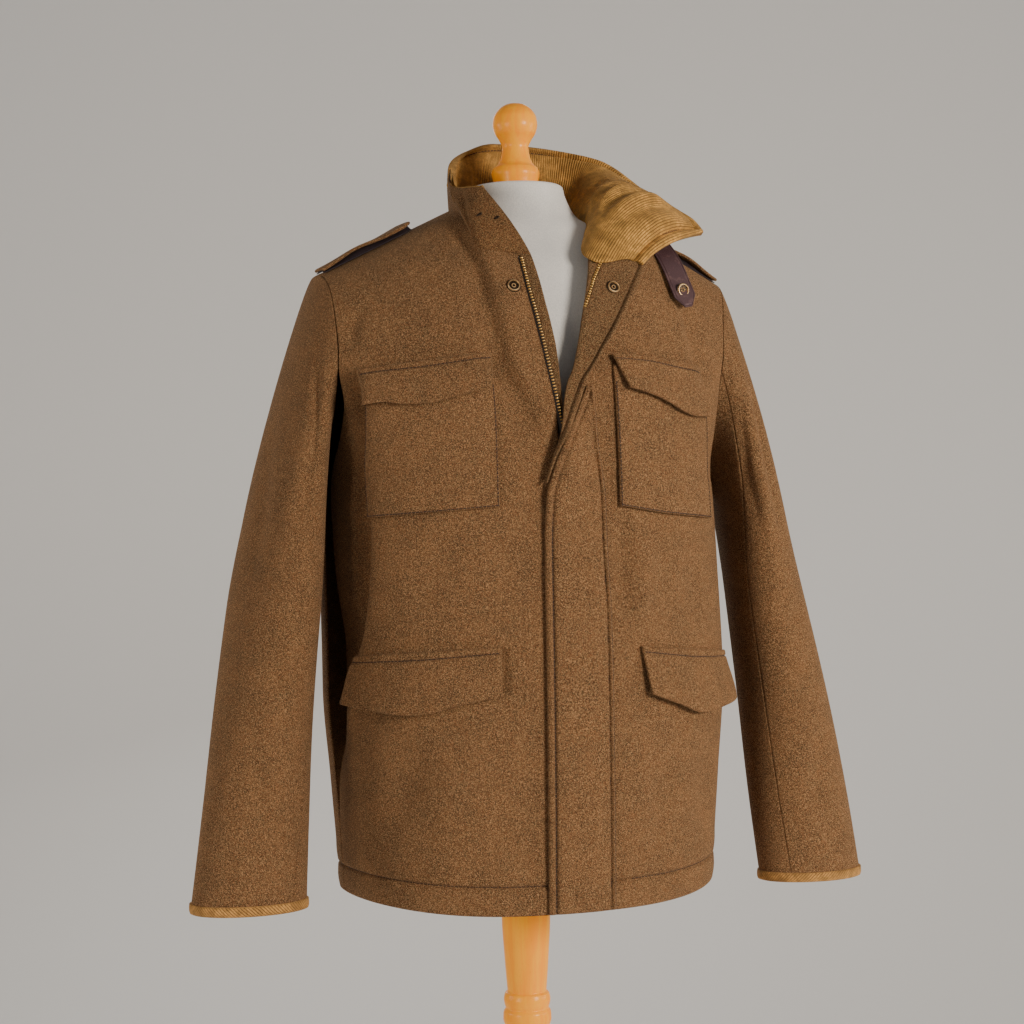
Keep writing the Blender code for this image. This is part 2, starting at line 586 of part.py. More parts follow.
def make_zip():
    """Chain, slider and pull tab; the tab hangs from the staple on the slider."""
    rise = SLIDER_Z - SLIDER_SIZE[2] / 2.0 - SLIDER_GAP - CHAIN_BOTTOM
    closed = []
    for index in range(CHAIN_PIECES + 1):
        part = index / CHAIN_PIECES
        closed.append(front_point(SLIDER_X * part**CHAIN_BEND, CHAIN_BOTTOM + rise * part, -CHAIN_SINK))
    make_tube("zip_chain_closed", closed, CHAIN_RADIUS, BRASS)
    make_tube("zip_chain_right", [front_point(*place) for place in CHAIN_RIGHT], CHAIN_RADIUS, BRASS)
    left = [front_point(*place) for place in CHAIN_LEFT_HIDDEN]
    left += [facing_point(*place) for place in CHAIN_LEFT_SHOWN]
    make_tube("zip_chain_left", left, CHAIN_RADIUS, BRASS)

    middle = front_point(SLIDER_X, SLIDER_Z) + Vector((0.0, SLIDER_SINK, 0.0))
    face_y = middle.y - SLIDER_SIZE[1] / 2.0
    staple = Vector((middle.x, face_y - STAPLE_SIZE[1] / 2.0, middle.z))
    mesh = bmesh.new()
    add_box(mesh, SLIDER_SIZE, middle)
    slider = add_object("zip_slider", mesh, BRASS)
    mesh = bmesh.new()
    size = (STAPLE_SIZE[0], STAPLE_SIZE[1] + STAPLE_ROOT, STAPLE_SIZE[2])
    add_box(mesh, size, staple + Vector((0.0, STAPLE_ROOT / 2.0, 0.0)))
    stub = add_object("zip_slider_staple", mesh, None, CUTTERS)
    stub.hide_render = True
    stub.display_type = "WIRE"
    join = slider.modifiers.new("staple", "BOOLEAN")
    join.operation = "UNION"
    join.object = stub
    eye_y = face_y - STAPLE_FLOOR - STAPLE_EYE[0] / 2.0
    cut(slider, (STAPLE_SIZE[0] * 2.0, STAPLE_EYE[0], STAPLE_EYE[1]), Vector((middle.x, eye_y, middle.z)))

    axis = Vector((middle.x, eye_y, middle.z - STAPLE_EYE[1] / 2.0 + TAB_BAR / 2.0 + TAB_HANG))
    mesh = bmesh.new()
    add_box(mesh, TAB_SIZE, Vector((0.0, 0.0, TAB_BAR / 2.0 - TAB_SIZE[2] / 2.0)))
    tab = add_object("zip_pull", mesh, BRASS)
    tab.location = axis
    eye_z = axis.z - TAB_BAR / 2.0 - TAB_EYE[1] / 2.0
    cut(tab, (TAB_EYE[0], TAB_SIZE[1] * 3.0, TAB_EYE[1]), Vector((axis.x, axis.y, eye_z)))


# ---- pockets ---------------------------------------------------------------------------------
def make_patch(name, side):
    """A chest patch pocket, laid on the front."""
    def surface(u, v, out):
        distance = CHEST_PATCH.start + CHEST_PATCH.width * u + side * CHEST_SWAY
        z = CHEST_PATCH.top - CHEST_PATCH.drop * u - CHEST_PATCH.height * (1.0 - v)
        return measured_point(side, distance, z, PATCH_LIFT + out)

    return cloth_wall(name, WOOL, 6, 6, surface, WALL, 0.0)


def flap_depth(flap, share):
    """Depth of a flap along its width: two gentle scallops that meet in a point."""
    toward = 1.0 - abs(2.0 * share - 1.0)
    return flap.side + (flap.point - flap.side) * (0.5 - 0.5 * math.cos(math.pi * toward)) ** 0.8


def make_flap(name, side, flap, sway=0.0):
    """A pocket flap with a pointed lower edge; its free edge stands a little off."""
    def surface(u, v, out):
        distance = flap.start + flap.width * u + side * sway
        fall = flap_depth(flap, u) * (1.0 - v)
        z = flap.top - flap.drop * u - fall
        stand = flap.lift + FLAP_STAND * math.sin((1.0 - v) * math.pi / 2.0)
        return measured_point(side, distance, z, stand + out)

    return cloth_wall(name, WOOL, 8, 3, surface, DOUBLE_WALL, 0.0)


# ---- shoulders and throat --------------------------------------------------------------------
def shoulder_point(x, forward, out):
    """A point over the shoulder line: x along it, and a distance forward of it."""
    back = forward < 0.0
    crown = BODY[-1]
    depth = (crown.edge_back + crown.back) / 2.0 if back else (crown.edge_front + crown.front) / 2.0
    share = min(abs(forward) / depth, 1.0) ** (1.0 / DOME_POWER)
    level = 1.0 + math.acos(share) / (math.pi / 2.0)
    level = min(level, 2.0 - 0.5 * STEP)
    return body_point(across_of(x, level), level, out, back)


def make_strap(name, side, start_x, wall, lift, free_lift, finish):
    """A shoulder strap or its underlay, sewn at the sleeve and free at the neck end."""
    def surface(u, v, out):
        x = side * (start_x + (STRAP_OUTER_X - start_x) * u)
        narrow = 1.0 - STRAP_NARROWING * (1.0 - u)
        half = STRAP_WIDTH / 2.0 * narrow
        if u < 0.001:
            half *= STRAP_CHAMFER
        forward = STRAP_FORWARD + half * (1.0 - 2.0 * v)
        return shoulder_point(x, forward, lift + free_lift * (1.0 - u) ** 2 + out)

    return cloth_wall(name, finish, 5, 4, surface, wall, 0.0)


def make_throat_tab():
    """The leather throat tab, hanging from under the collar, with a pointed end."""
    def surface(u, v, out):
        fall = TAB_LENGTH * (1.0 - v)
        taper = min(v / TAB_POINT, 1.0)
        half = TAB_WIDTH / 2.0 * (TAB_TIP + (1.0 - TAB_TIP) * taper)
        x = TAB_X + half * (2.0 * u - 1.0) + TAB_LEAN * fall
        return front_point(x, TAB_TOP_Z - fall, LAY + TAB_STAND * (1.0 - v) + out)

    return cloth_wall("throat_tab", LEATHER, 3, 8, surface, TAB_WALL, 0.0)


def make_snap(name, place, outward, radius=SNAP_RADIUS, depth=SNAP_DEPTH):
    """A snap or stud: a short tapered disc, on a place and facing outward."""
    turn = outward.normalized().to_track_quat("Z", "Y").to_matrix().to_4x4()
    mesh = bmesh.new()
    bmesh.ops.create_cone(mesh, cap_ends=True, segments=16, radius1=radius, radius2=radius * 0.86,
                          depth=depth, matrix=Matrix.Translation(place) @ turn)
    return add_object(name, mesh, BRASS)


def snap_on(surface, lift, radius=SNAP_RADIUS, depth=SNAP_DEPTH):
    """Place and outward direction of a snap whose back lies a lift above a surface(out)."""
    outward = (surface(0.004) - surface(0.0)).normalized()
    return surface(0.0) + outward * (lift + depth / 2.0), outward


def make_snaps():
    """Snaps on the right front, the facing and the throat tab, and studs on the collar."""
    place, outward = snap_on(lambda out: front_point(*FRONT_SNAP, out), SNAP_LAY)
    make_snap("snap_front", place, outward)
    lift = DOUBLE_WALL + FACING_SNAP_GAP
    place, outward = snap_on(lambda out: facing_point(*FACING_SNAP, out), lift)
    make_snap("snap_facing", place, outward)
    drop = TAB_LENGTH * TAB_SNAP
    lift = LAY + TAB_STAND * TAB_SNAP + TAB_WALL + STUD_GAP
    place, outward = snap_on(lambda out: front_point(TAB_X + TAB_LEAN * drop, TAB_TOP_Z - drop, out), lift)
    make_snap("snap_throat_tab", place, outward)
    for index, (share, height) in enumerate(STUD_PLACES):
        place, outward = snap_on(lambda out: collar_point(share, height, out), STUD_GAP,
                                 STUD_RADIUS, STUD_DEPTH)
        make_snap("snap_collar_" + str(index + 1), place, outward, STUD_RADIUS, STUD_DEPTH)


# ---- sleeves ---------------------------------------------------------------------------------
def armhole_point(side, ring):
    """A point of the armhole: ring 0 on the shoulder, 0.25 in front, 0.5 underarm, 0.75 behind."""
    ring %= 1.0
    back = ring > 0.5
    level = 2.0 - 2.0 * ring if not back else 2.0 * ring
    return body_skin(side, level, back) + Vector((side * ARMHOLE_CLEAR, 0.0, 0.0))


def ellipse_point(side, ring, share):
    """A point of a sleeve section below the underarm."""
    angle = ring * 2.0 * math.pi
    across, deep = column(SLEEVE, share, "across"), column(SLEEVE, share, "deep")
    turn = math.radians(column(SLEEVE, share, "turn"))
    outward, forward = across * math.cos(angle), deep * math.sin(angle)
    x = outward * math.cos(turn) - forward * math.sin(turn)
    y = forward * math.cos(turn) + outward * math.sin(turn)
    first = SLEEVE[0].share
    z = column(SLEEVE, share, "z") - SLEEVE_LENGTHEN[side] * (share - first) / (1.0 - first)
    return Vector((side * (column(SLEEVE, share, "x") + x), column(SLEEVE, share, "y") - y, z))


def sleeve_skin(side, ring, share):
    """A point of a sleeve's outer face: ring round it, and a share from armhole to cuff."""
    first = SLEEVE[0].share
    if share >= first:
        return ellipse_point(side, ring, share)
    start = armhole_point(side, ring)
    end = ellipse_point(side, ring, first)
    below = ellipse_point(side, ring, first + STEP)
    down = (below - end).normalized()
    top = 0.5 + 0.5 * math.cos(ring * 2.0 * math.pi)
    reach = CAP_BULGE * (0.55 + 0.45 * top)
    leave = start + Vector((side * reach, 0.0, -0.25 * reach))
    length = (end - start).length
    arrive = end - down * length * 0.42
    part = share / first
    rest = 1.0 - part
    return (start * rest ** 3 + leave * 3.0 * rest ** 2 * part
            + arrive * 3.0 * rest * part ** 2 + end * part ** 3)


def sleeve_point(side, ring, share, out):
    """A point at a distance out from a sleeve's outer face."""
    here = sleeve_skin(side, ring, share)
    if out == 0.0:
        return here
    around = sleeve_skin(side, ring + STEP, share) - sleeve_skin(side, ring - STEP, share)
    along = (sleeve_skin(side, ring, min(share + STEP, 1.0))
             - sleeve_skin(side, ring, max(share - STEP, 0.0)))
    normal = along.cross(around).normalized()
    return here - normal * out * side


def make_sleeve(word, side):
    """Upper and under sleeve, and the corduroy binding of the cuff."""
    def piece(first, last):
        def surface(u, v, out):
            ring = first + RING_SEAM + (last - first - 2.0 * RING_SEAM) * u
            share = spread(v, ((0.0, 0), (SLEEVE[0].share, 5), (1.0, 8)))
            return sleeve_point(side, ring, share, out)
        return surface

    cloth_wall("sleeve_" + word + "_upper", WOOL, 12, 13, piece(BACK_SEAM - 1.0, FRONT_SEAM))
    cloth_wall("sleeve_" + word + "_under", WOOL, 7, 13, piece(FRONT_SEAM, BACK_SEAM))
    mesh = bmesh.new()
    profile = ((-WALL - 0.0002, 0.0), (0.0012, 0.0), (0.0012, 1.0), (-WALL - 0.0002, 1.0))
    bmesh.ops.create_grid(mesh, x_segments=BINDING_SIDES, y_segments=len(profile), size=0.5)
    for vert in mesh.verts:
        out, high = profile[round((vert.co.y + 0.5) * len(profile)) % len(profile)]
        place = sleeve_point(side, (vert.co.x + 0.5) % 1.0, 1.0, out)
        place.z -= BINDING_CLEAR + BINDING_WIDTH * (1.0 - high)
        vert.co = place
    bmesh.ops.remove_doubles(mesh, verts=mesh.verts[:], dist=0.00002)
    face_outward(mesh)
    add_object("cuff_binding_" + word, mesh, CORDUROY)


# ---- collar ----------------------------------------------------------------------------------
def collar_skin(share, height):
    """A point of the collar's wool face, through each section's base, middle and top."""
    corners = []
    for name in ("base", "middle", "top"):
        axes = [collar_column(share, name, axis) for axis in range(3)]
        corners.append(Vector(axes))
    base, middle, top = corners
    return (base * (1.0 - height) * (1.0 - 2.0 * height) + middle * 4.0 * height * (1.0 - height)
            + top * height * (2.0 * height - 1.0))


CollarValue = namedtuple("CollarValue", "share value")


def collar_column(share, name, axis):
    """One coordinate of a collar section's base, middle or top."""
    rows = [CollarValue(row.share, getattr(row, name)[axis]) for row in COLLAR]
    return column(rows, share, "value")


def collar_point(share, height, out):
    """A point at a distance out from the collar's wool face."""
    here = collar_skin(share, height)
    along = collar_skin(min(share + STEP, 1.0), height) - collar_skin(max(share - STEP, 0.0), height)
    rise = collar_skin(share, min(height + STEP, 1.0)) - collar_skin(share, max(height - STEP, 0.0))
    return here + rise.cross(along).normalized() * out


def make_collar():
    """Collar outside in wool and its corduroy facing, a layer apart."""
    def surface(u, v, out):
        return collar_point(u, v, out)

    cloth_wall("collar_outer", WOOL, 26, 4, surface, WALL, -WALL)
    base = -WALL - COLLAR_LAYER_GAP - CORD_WALL
    cloth_wall("collar_facing", CORDUROY, 26, 4, surface, CORD_WALL, base)


# ---- dress form and stand --------------------------------------------------------------------
def form_point(around, z):
    """A point of the dress form: an oval section that narrows under the coat's shoulder line."""
    angle = around * 2.0 * math.pi
    half_x = column(FORM, z, "half_x")
    shoulder = NECK_X + (NECK_Z - FORM_CLEAR - z) / SHOULDER_SLOPE
    if z < NECK_Z - FORM_CLEAR:
        half_x = min(half_x, shoulder)
    depth = column(FORM, z, "front" if math.sin(angle) < 0.0 else "back")
    power = 2.0 / (2.0 + 0.3 * min(max((1.47 - z) / 0.1, 0.0), 1.0))
    x = math.copysign(half_x * abs(math.cos(angle)) ** power, math.cos(angle))
    y = math.copysign(depth * abs(math.sin(angle)) ** power, math.sin(angle))
    return Vector((x, y, z))


def make_form():
    """The padded torso and neck, a closed smooth solid."""
    levels = ((FORM[0].z, 0), (1.39, 13), (1.4726, 10), (FORM[-1].z, 5))
    mesh = bmesh.new()
    bmesh.ops.create_grid(mesh, x_segments=FORM_SIDES, y_segments=FORM_RINGS, size=0.5)
    for vert in mesh.verts:
        vert.co = form_point((vert.co.x + 0.5) % 1.0, spread(vert.co.y + 0.5, levels))
    bmesh.ops.remove_doubles(mesh, verts=mesh.verts[:], dist=0.00002)
    rims = [edge for edge in mesh.edges if len(edge.link_faces) == 1]
    bmesh.ops.holes_fill(mesh, edges=rims, sides=0)
    face_outward(mesh)
    add_object("form_torso", mesh, JERSEY)


def make_turned(name, rows, finish):
    """A turned piece: its profile down the +X side, with a Screw modifier."""
    mesh = bmesh.new()
    verts = [mesh.verts.new((row.radius, 0.0, row.z)) for row in rows]
    for first, second in zip(verts, verts[1:]):
        mesh.edges.new((first, second))
    thing = add_object(name, mesh, finish)
    screw = thing.modifiers.new("turn", "SCREW")
    screw.steps = TURN_STEPS
    screw.render_steps = TURN_STEPS
    screw.use_merge_vertices = True
    screw.merge_threshold = 0.00005
    return thing


def make_trims():
    """Pockets, flaps and shoulder straps, once for each side."""
    for word, side in (("right", -1), ("left", 1)):
        make_patch("chest_pocket_" + word, side)
        make_flap("chest_flap_" + word, side, CHEST_FLAP, CHEST_SWAY)
        make_flap("hip_flap_" + word, side, HIP_FLAP)
        make_strap("strap_underlay_" + word, side, STRAP_INNER_X + UNDERLAY_INSET, UNDERLAY_WALL,
                   LAY, 0.0, UNDERLAY)
        make_strap("shoulder_strap_" + word, side, STRAP_INNER_X, DOUBLE_WALL,
                   LAY + UNDERLAY_WALL + STRAP_GAP, STRAP_FREE_LIFT, WOOL)
        make_sleeve(word, side)


make_turned("stand_base", BASE, BEECH)
make_turned("stand_pole", POLE, BEECH)
make_turned("form_knob", KNOB, BEECH)
make_form()
make_front("front_right", -1, RIGHT_EDGE)
make_front("front_left", 1, LEFT_EDGE)
make_back()
make_fly()
make_zip()
make_trims()
make_throat_tab()
make_collar()
make_snaps()
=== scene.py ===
"""Looks of an overcoat on a dress form: a hip-length wool coat in a field-jacket cut.

Metres, +Z up, the coat's front faces -Y and the wearer's right side is -X.  Cloth pieces are
thin closed shells on the same three surfaces as the solids that they replace: the body of the
coat, a sleeve or the collar.  Creases are placed on those surfaces.
"""

import logging
import math
from collections.abc import Callable, Sequence
from dataclasses import dataclass, field
from enum import Enum

import bmesh
import bpy
import numpy as np
from mathutils import Matrix, Vector


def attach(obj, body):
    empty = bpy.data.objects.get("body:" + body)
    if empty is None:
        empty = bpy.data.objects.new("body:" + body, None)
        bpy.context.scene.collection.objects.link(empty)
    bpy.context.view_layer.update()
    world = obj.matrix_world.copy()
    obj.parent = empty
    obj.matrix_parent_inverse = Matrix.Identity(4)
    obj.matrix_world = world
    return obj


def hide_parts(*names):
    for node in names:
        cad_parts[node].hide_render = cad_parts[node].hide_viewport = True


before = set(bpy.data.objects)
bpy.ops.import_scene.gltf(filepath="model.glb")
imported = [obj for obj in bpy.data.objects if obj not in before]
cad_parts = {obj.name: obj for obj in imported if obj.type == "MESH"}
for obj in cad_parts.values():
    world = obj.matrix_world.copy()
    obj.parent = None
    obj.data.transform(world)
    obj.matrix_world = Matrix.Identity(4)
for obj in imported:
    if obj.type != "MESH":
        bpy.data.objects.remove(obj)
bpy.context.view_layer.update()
LOG = logging.getLogger("overcoat")

Array = np.ndarray
Surface = Callable[[Array, Array, Array], Array]
Pair = tuple[float, float]
Triple = tuple[float, float, float]
Path = tuple[Pair, ...]
Mesh = bmesh.types.BMesh
Piece = bpy.types.Object
Node = bpy.types.Node
Socket = bpy.types.NodeSocket
COAT = "coat_and_stand"
MM = 0.001
OUTER_FACE = 0.001  # what lies further out than this is on a shell's outer face
PROBE = 0.004  # how far out a second point gives the direction outward
QUARTER_TURN = math.pi / 2.0


class Side(Enum):
    """The wearer's sides, by the sign of x."""

    RIGHT = -1
    LEFT = 1

    @property
    def word(self) -> str:
        """The side's name in node names."""
        return self.name.lower()


class Held(Enum):
    """How a sheet of cloth is held."""

    DRAPED = "draped"
    HUNG = "hung"
    FOLDED = "folded"


# ---- tables and curves ----


class SmoothTable:
    """Columns of numbers on smooth curves that never overshoot their values."""

    def __init__(self, names: str, rows: Sequence[Sequence[float]], unit: float = 1.0) -> None:
        """Keep the columns and work out their slopes.

        Args:
            names: the columns' names, the key first.
            rows: one row of numbers for each key, in rising order of the key.
            unit: the unit of every column but the key.
        """
        table = np.array(rows, float)
        self.names = names.split()[1:]
        self.keys = table[:, 0]
        self.values = table[:, 1:] * unit
        slopes = np.diff(self.values, axis=0) / np.diff(self.keys)[:, None]
        before, after = slopes[:-1], slopes[1:]
        same = before * after > 0.0
        inner = np.where(same, 2.0 * before * after / np.where(same, before + after, 1.0), 0.0)
        self.tangents = np.vstack([slopes[:1], inner, slopes[-1:]])

    def at(self, name: str, place: Array) -> Array:
        """A column's values.

        Args:
            name: the column.
            place: keys to read it at.

        Returns:
            The values, in the shape of place.
        """
        column = self.names.index(name)
        place = np.clip(place, self.keys[0], self.keys[-1])
        low = np.clip(np.searchsorted(self.keys, place, side="right") - 1, 0, len(self.keys) - 2)
        span = self.keys[low + 1] - self.keys[low]
        part = (place - self.keys[low]) / span
        start = self.tangents[low, column] * span
        end = self.tangents[low + 1, column] * span
        first = self.values[low, column]
        rise = self.values[low + 1, column] - first
        return (first + start * part + (3.0 * rise - 2.0 * start - end) * part**2
                + (start + end - 2.0 * rise) * part**3)


def straight(rows: Path, place: Array) -> Array:
    """Values at some keys, on straight lines between rows of key and value."""
    return np.interp(place, *np.array(rows).T)


def blend(table: SmoothTable, first: str, last: str, place: Array, part: Array) -> Array:
    """Values a part of the way from one column of a table to another."""
    start = table.at(first, place)
    return start + (table.at(last, place) - start) * part


def smooth_path(path: Sequence[Pair]) -> SmoothTable:
    """A path as smooth columns a and b over the number of its point."""
    return SmoothTable("key a b", [(float(i), *row) for i, row in enumerate(path)])


def step_lengths(points: Array) -> Array:
    """Lengths of the steps from each point to the next."""
    return np.linalg.norm(np.diff(points, axis=0), axis=1)


def bell(distance: Array) -> Array:
    """A soft hump: 1 at no distance, and near 0 from about 2 on."""
    return np.exp(-np.square(distance))


def ease(value: Array) -> Array:
    """A smooth step from 0 to 1."""
    value = np.clip(value, 0.0, 1.0)
    return value * value * (3.0 - 2.0 * value)


@dataclass(frozen=True)
class Crease:
    """A soft trough or ridge along a path on a surface.

    Attributes:
        path: points of the path in the surface's own two coordinates, in millimetres.
        width: half its width, in millimetres.
        depth: how deep it is, in millimetres; a negative depth is a ridge.
        lean: from -1 to 1, how much steeper one side is than the other.
        fade: share of the length over which each end fades out.
    """

    path: Path
    width: float
    depth: float
    lean: float = 0.0
    fade: float = 0.35

    def sink(self, a: Array, b: Array) -> Array:
        """How far points lie sunk in the crease.

        Args:
            a: first coordinate of the points.
            b: second coordinate of the points.

        Returns:
            The depth at each point, positive inwards.
        """
        points = np.array(self.path) * MM
        steps = np.diff(points, axis=0)
        lengths = np.hypot(steps[:, 0], steps[:, 1])
        total = lengths.sum()
        nearest = np.full(np.shape(a), 1e9)
        along = np.zeros(np.shape(a))
        side = np.zeros(np.shape(a))
        walked = 0.0
        for start, step, length in zip(points[:-1], steps, lengths):
            away_a, away_b = a - start[0], b - start[1]
            raw = (away_a * step[0] + away_b * step[1]) / length**2
            part = np.clip(raw, 0.0, 1.0)
            off_a, off_b = away_a - part * step[0], away_b - part * step[1]
            distance = np.hypot(off_a, off_b)
            closer = distance < nearest
            nearest = np.where(closer, distance, nearest)
            along = np.where(closer, (walked + part * length) / total, along)
            turn = np.sign(step[0] * away_b - step[1] * away_a)
            side = np.where(closer, turn, side)
            walked += length
        width = self.width * MM * (1.0 + self.lean * side)
        ends = ease(np.minimum(along, 1.0 - along) / self.fade)
        return self.depth * MM * bell(nearest / width) * ends


def lifted(here: Array, first: Array, second: Array, lift: Array) -> Array:
    """Points of a surface, moved along its normal.

    Args:
        here: the points.
        first: directions along the surface at the points.
        second: other directions along it, so that first x second is the normal.
        lift: distances to move.

    Returns:
        The moved points.
    """
    normal = np.cross(first, second)
    normal /= np.maximum(np.linalg.norm(normal, axis=-1, keepdims=True), 1e-12)
    return here + normal * lift[..., None]


def relief(creases: Sequence[Crease], a: Array, b: Array) -> Array:
    """How far a creased surface stands off its plain form.

    Args:
        creases: the troughs and ridges.
        a: first coordinate of the points.
        b: second coordinate of the points.

    Returns:
        The lift at each point, positive outwards.
    """
    total = np.zeros(np.shape(a))
    for crease in creases:
        total -= crease.sink(a, b)
    return total


# ---- the body of the coat ----


@dataclass
class BodyForm:
    """The coat's body as a surface: a share across, -1 to 1, and a level.

    Level 0 is the hem, 1 the underarm and 2 the shoulder line.
    """

    underarm_z: float = 1.2
    neck_z: float = 1.476
    neck_x: float = 0.076
    shoulder_slope: float = 0.495
    centre_y: float = -0.005
    dome_power: float = 0.8
    row_power: float = 2.3
    hem_rise: float = 0.012
    step: float = 0.01
    rows: SmoothTable = field(default_factory=lambda: SmoothTable(
        "level height edge_x edge_front edge_back front back roundness sway", (
            (0.0, 0.782, 0.1925, 0.0, 0.0, 0.143, 0.13, 2.3, 0.0),
            (0.28, 0.9, 0.2015, 0.0, 0.0, 0.146, 0.135, 2.3, 0.0),
            (0.54, 1.0, 0.2085, 0.0, 0.0, 0.147, 0.137, 2.3, 0.0),
            (0.8, 1.11, 0.207, 0.0, 0.0, 0.146, 0.134, 2.3, -0.003),
            (1.0, 1.2, 0.204, 0.0, 0.0, 0.148, 0.133, 2.3, -0.007),
            (1.1, 1.2, 0.203, 0.04, 0.036, 0.149, 0.133, 1.9, -0.009),
            (1.22, 1.2, 0.203, 0.07, 0.06, 0.15, 0.133, 1.4, -0.01),
            (1.4, 1.2, 0.2045, 0.088, 0.07, 0.149, 0.132, 1.0, -0.009),
            (1.75, 1.2, 0.211, 0.092, 0.072, 0.146, 0.13, 1.0, -0.003),
            (2.0, 1.2, 0.215, 0.092, 0.072, 0.145, 0.13, 1.0, 0.0))))
    front_creases: tuple[Crease, ...] = ()
    back_creases: tuple[Crease, ...] = ()

    def dome(self, level: Array) -> tuple[Array, Array]:
        """Rise and depth of the shoulder dome, both 0 to 1, at levels from 1 to 2."""
        angle = (np.clip(level, 1.0, 2.0) - 1.0) * QUARTER_TURN
        return np.sin(angle) ** self.dome_power, np.maximum(np.cos(angle), 0.0) ** self.dome_power

    def height(self, x: Array, level: Array) -> Array:
        """Height of the surface over x at a level."""
        ridge = self.neck_z - self.shoulder_slope * np.maximum(np.abs(x) - self.neck_x, 0.0)
        edge = self.rows.values[0, self.rows.names.index("edge_x")]
        side = np.minimum(np.abs(x) / edge, 1.0)
        low = self.rows.at("height", level) + self.hem_rise * side**3 * np.maximum(1.0 - level, 0.0) ** 3
        high = self.underarm_z + (ridge - self.underarm_z) * self.dome(level)[0]
        return np.where(level <= 1.0, low, high)

    def level_of(self, x: Array, z: Array) -> Array:
        """The level whose height over x is z."""
        low, high = np.zeros(np.shape(x)), np.full(np.shape(x), 2.0)
        for _ in range(24):
            middle = (low + high) / 2.0
            under = self.height(x, middle) < z
            low = np.where(under, middle, low)
            high = np.where(under, high, middle)
        return (low + high) / 2.0

    def across_of(self, x: Array, level: Array) -> Array:
        """The share of a row, -1 to 1, that lies at x."""
        offset = (x - self.rows.at("sway", level)) / self.rows.at("edge_x", level)
        share = np.arcsin(np.minimum(np.abs(offset), 1.0) ** (self.row_power / 2.0))
        return np.copysign(share / QUARTER_TURN, offset)

    def skin(self, across: Array, level: Array, back: bool) -> Array:
        """Points of the plain outer face.

        Args:
            across: shares across the row.
            level: levels.
            back: whether they are on the coat's back.

        Returns:
            The points, one row each.
        """
        across, level = np.clip(across, -1.0, 1.0), np.clip(level, 0.0, 2.0)
        angle = np.abs(across) * QUARTER_TURN
        rows = self.rows
        edge_y = rows.at("edge_back" if back else "edge_front", level)
        depth = rows.at("back" if back else "front", level)
        curve = np.maximum(np.cos(angle), 0.0) ** (2.0 / rows.at("roundness", level))
        reach = rows.at("edge_x", level) * np.sin(angle) ** (2.0 / self.row_power)
        x = rows.at("sway", level) + np.copysign(reach, across)
        y = (edge_y + (depth - edge_y) * curve) * self.dome(level)[1]
        y = self.centre_y + (y if back else -y)
        return np.stack([x, y, self.height(x, level)], axis=-1)

    def point(self, across: Array, level: Array, out: Array, back: bool = False) -> Array:
        """Points at a distance out from the creased outer face.

        Args:
            across: shares across the row.
            level: levels.
            out: distances out, in metres.
            back: whether they are on the coat's back.

        Returns:
            The points, one row each.
        """
        here = self.skin(across, level, back)
        side = self.skin(across + self.step, level, back) - self.skin(across - self.step, level, back)
        rise = self.skin(across, level + self.step, back) - self.skin(across, level - self.step, back)
        creases = self.back_creases if back else self.front_creases
        lift = relief(creases, here[..., 0], here[..., 2]) + out
        return lifted(here, side, rise, -lift if back else lift)

    def front(self, x: Array, z: Array, out: Array) -> Array:
        """Points over the coat's front, from their x and z."""
        level = self.level_of(x, z)
        return self.point(self.across_of(x, level), level, out)


def spaced(path: Sequence[Pair], over: Surface, out: float, pitch: float) -> tuple[Array, Array, Array]:
    """Evenly spaced places along a path on a surface.

    Args:
        path: points in the surface's own coordinates.
        over: the surface.
        out: the path's distance out.
        pitch: the spacing.

    Returns:
        Centres, directions along the path and directions outward.
    """
    table, fine = smooth_path(path), np.linspace(0.0, len(path) - 1.0, 500)
    a, b = table.at("a", fine), table.at("b", fine)
    line = over(a, b, np.full(fine.shape, out))
    lengths = np.concatenate([[0.0], np.cumsum(step_lengths(line))])
    wanted = np.arange(0.5 * pitch, lengths[-1], pitch)
    near = np.interp(wanted, lengths, a), np.interp(wanted, lengths, b)
    centres = over(*near, np.full(wanted.shape, out))
    outward = over(*near, np.full(wanted.shape, out + PROBE)) - centres
    return centres, np.gradient(centres, axis=0), outward


def add_bars(mesh: Mesh, rows: tuple[Array, Array, Array], size: Triple) -> None:
    """Add small bars along a row of places, each turned with the row.

    Args:
        mesh: the mesh that they go into.
        rows: centres, directions along the row and directions outward.
        size: length along the row, width and height.
    """
    for centre, ahead, away in zip(*rows):
        forward, out = Vector(ahead).normalized(), Vector(away)
        out = (out - forward * out.dot(forward)).normalized()
        turn = Matrix((forward, out.cross(forward), out)).transposed().to_4x4()
        matrix = Matrix.Translation(Vector(centre)) @ turn @ Matrix.Diagonal((*size, 1.0))
        bmesh.ops.create_cube(mesh, size=1.0, matrix=matrix)


def add_turned(mesh: Mesh, profile: Sequence[Pair], steps: int) -> None:
    """Add a surface turned full circle round the Z axis.

    Args:
        mesh: the mesh that it goes into.
        profile: its radii and heights, in millimetres.
        steps: faces round it.
    """
    verts = [mesh.verts.new((radius * MM, 0.0, height * MM)) for radius, height in profile]
    edges = [mesh.edges.new(pair) for pair in zip(verts, verts[1:])]
    bmesh.ops.spin(mesh, geom=verts + edges, cent=(0, 0, 0), axis=(0, 0, 1), dvec=(0, 0, 0),
                   angle=math.tau, steps=steps, use_merge=True)


def on_grid(verts: Sequence[bmesh.types.BMVert], columns: int, rows: int) -> tuple[Array, Array]:
    """Column and row of each vertex of a grid of size 1, or of its extruded copy."""
    grid = np.array([vert.co for vert in verts]) + 0.5
    return np.rint(grid[:, 0] * columns).astype(int), np.rint(grid[:, 1] * rows).astype(int)


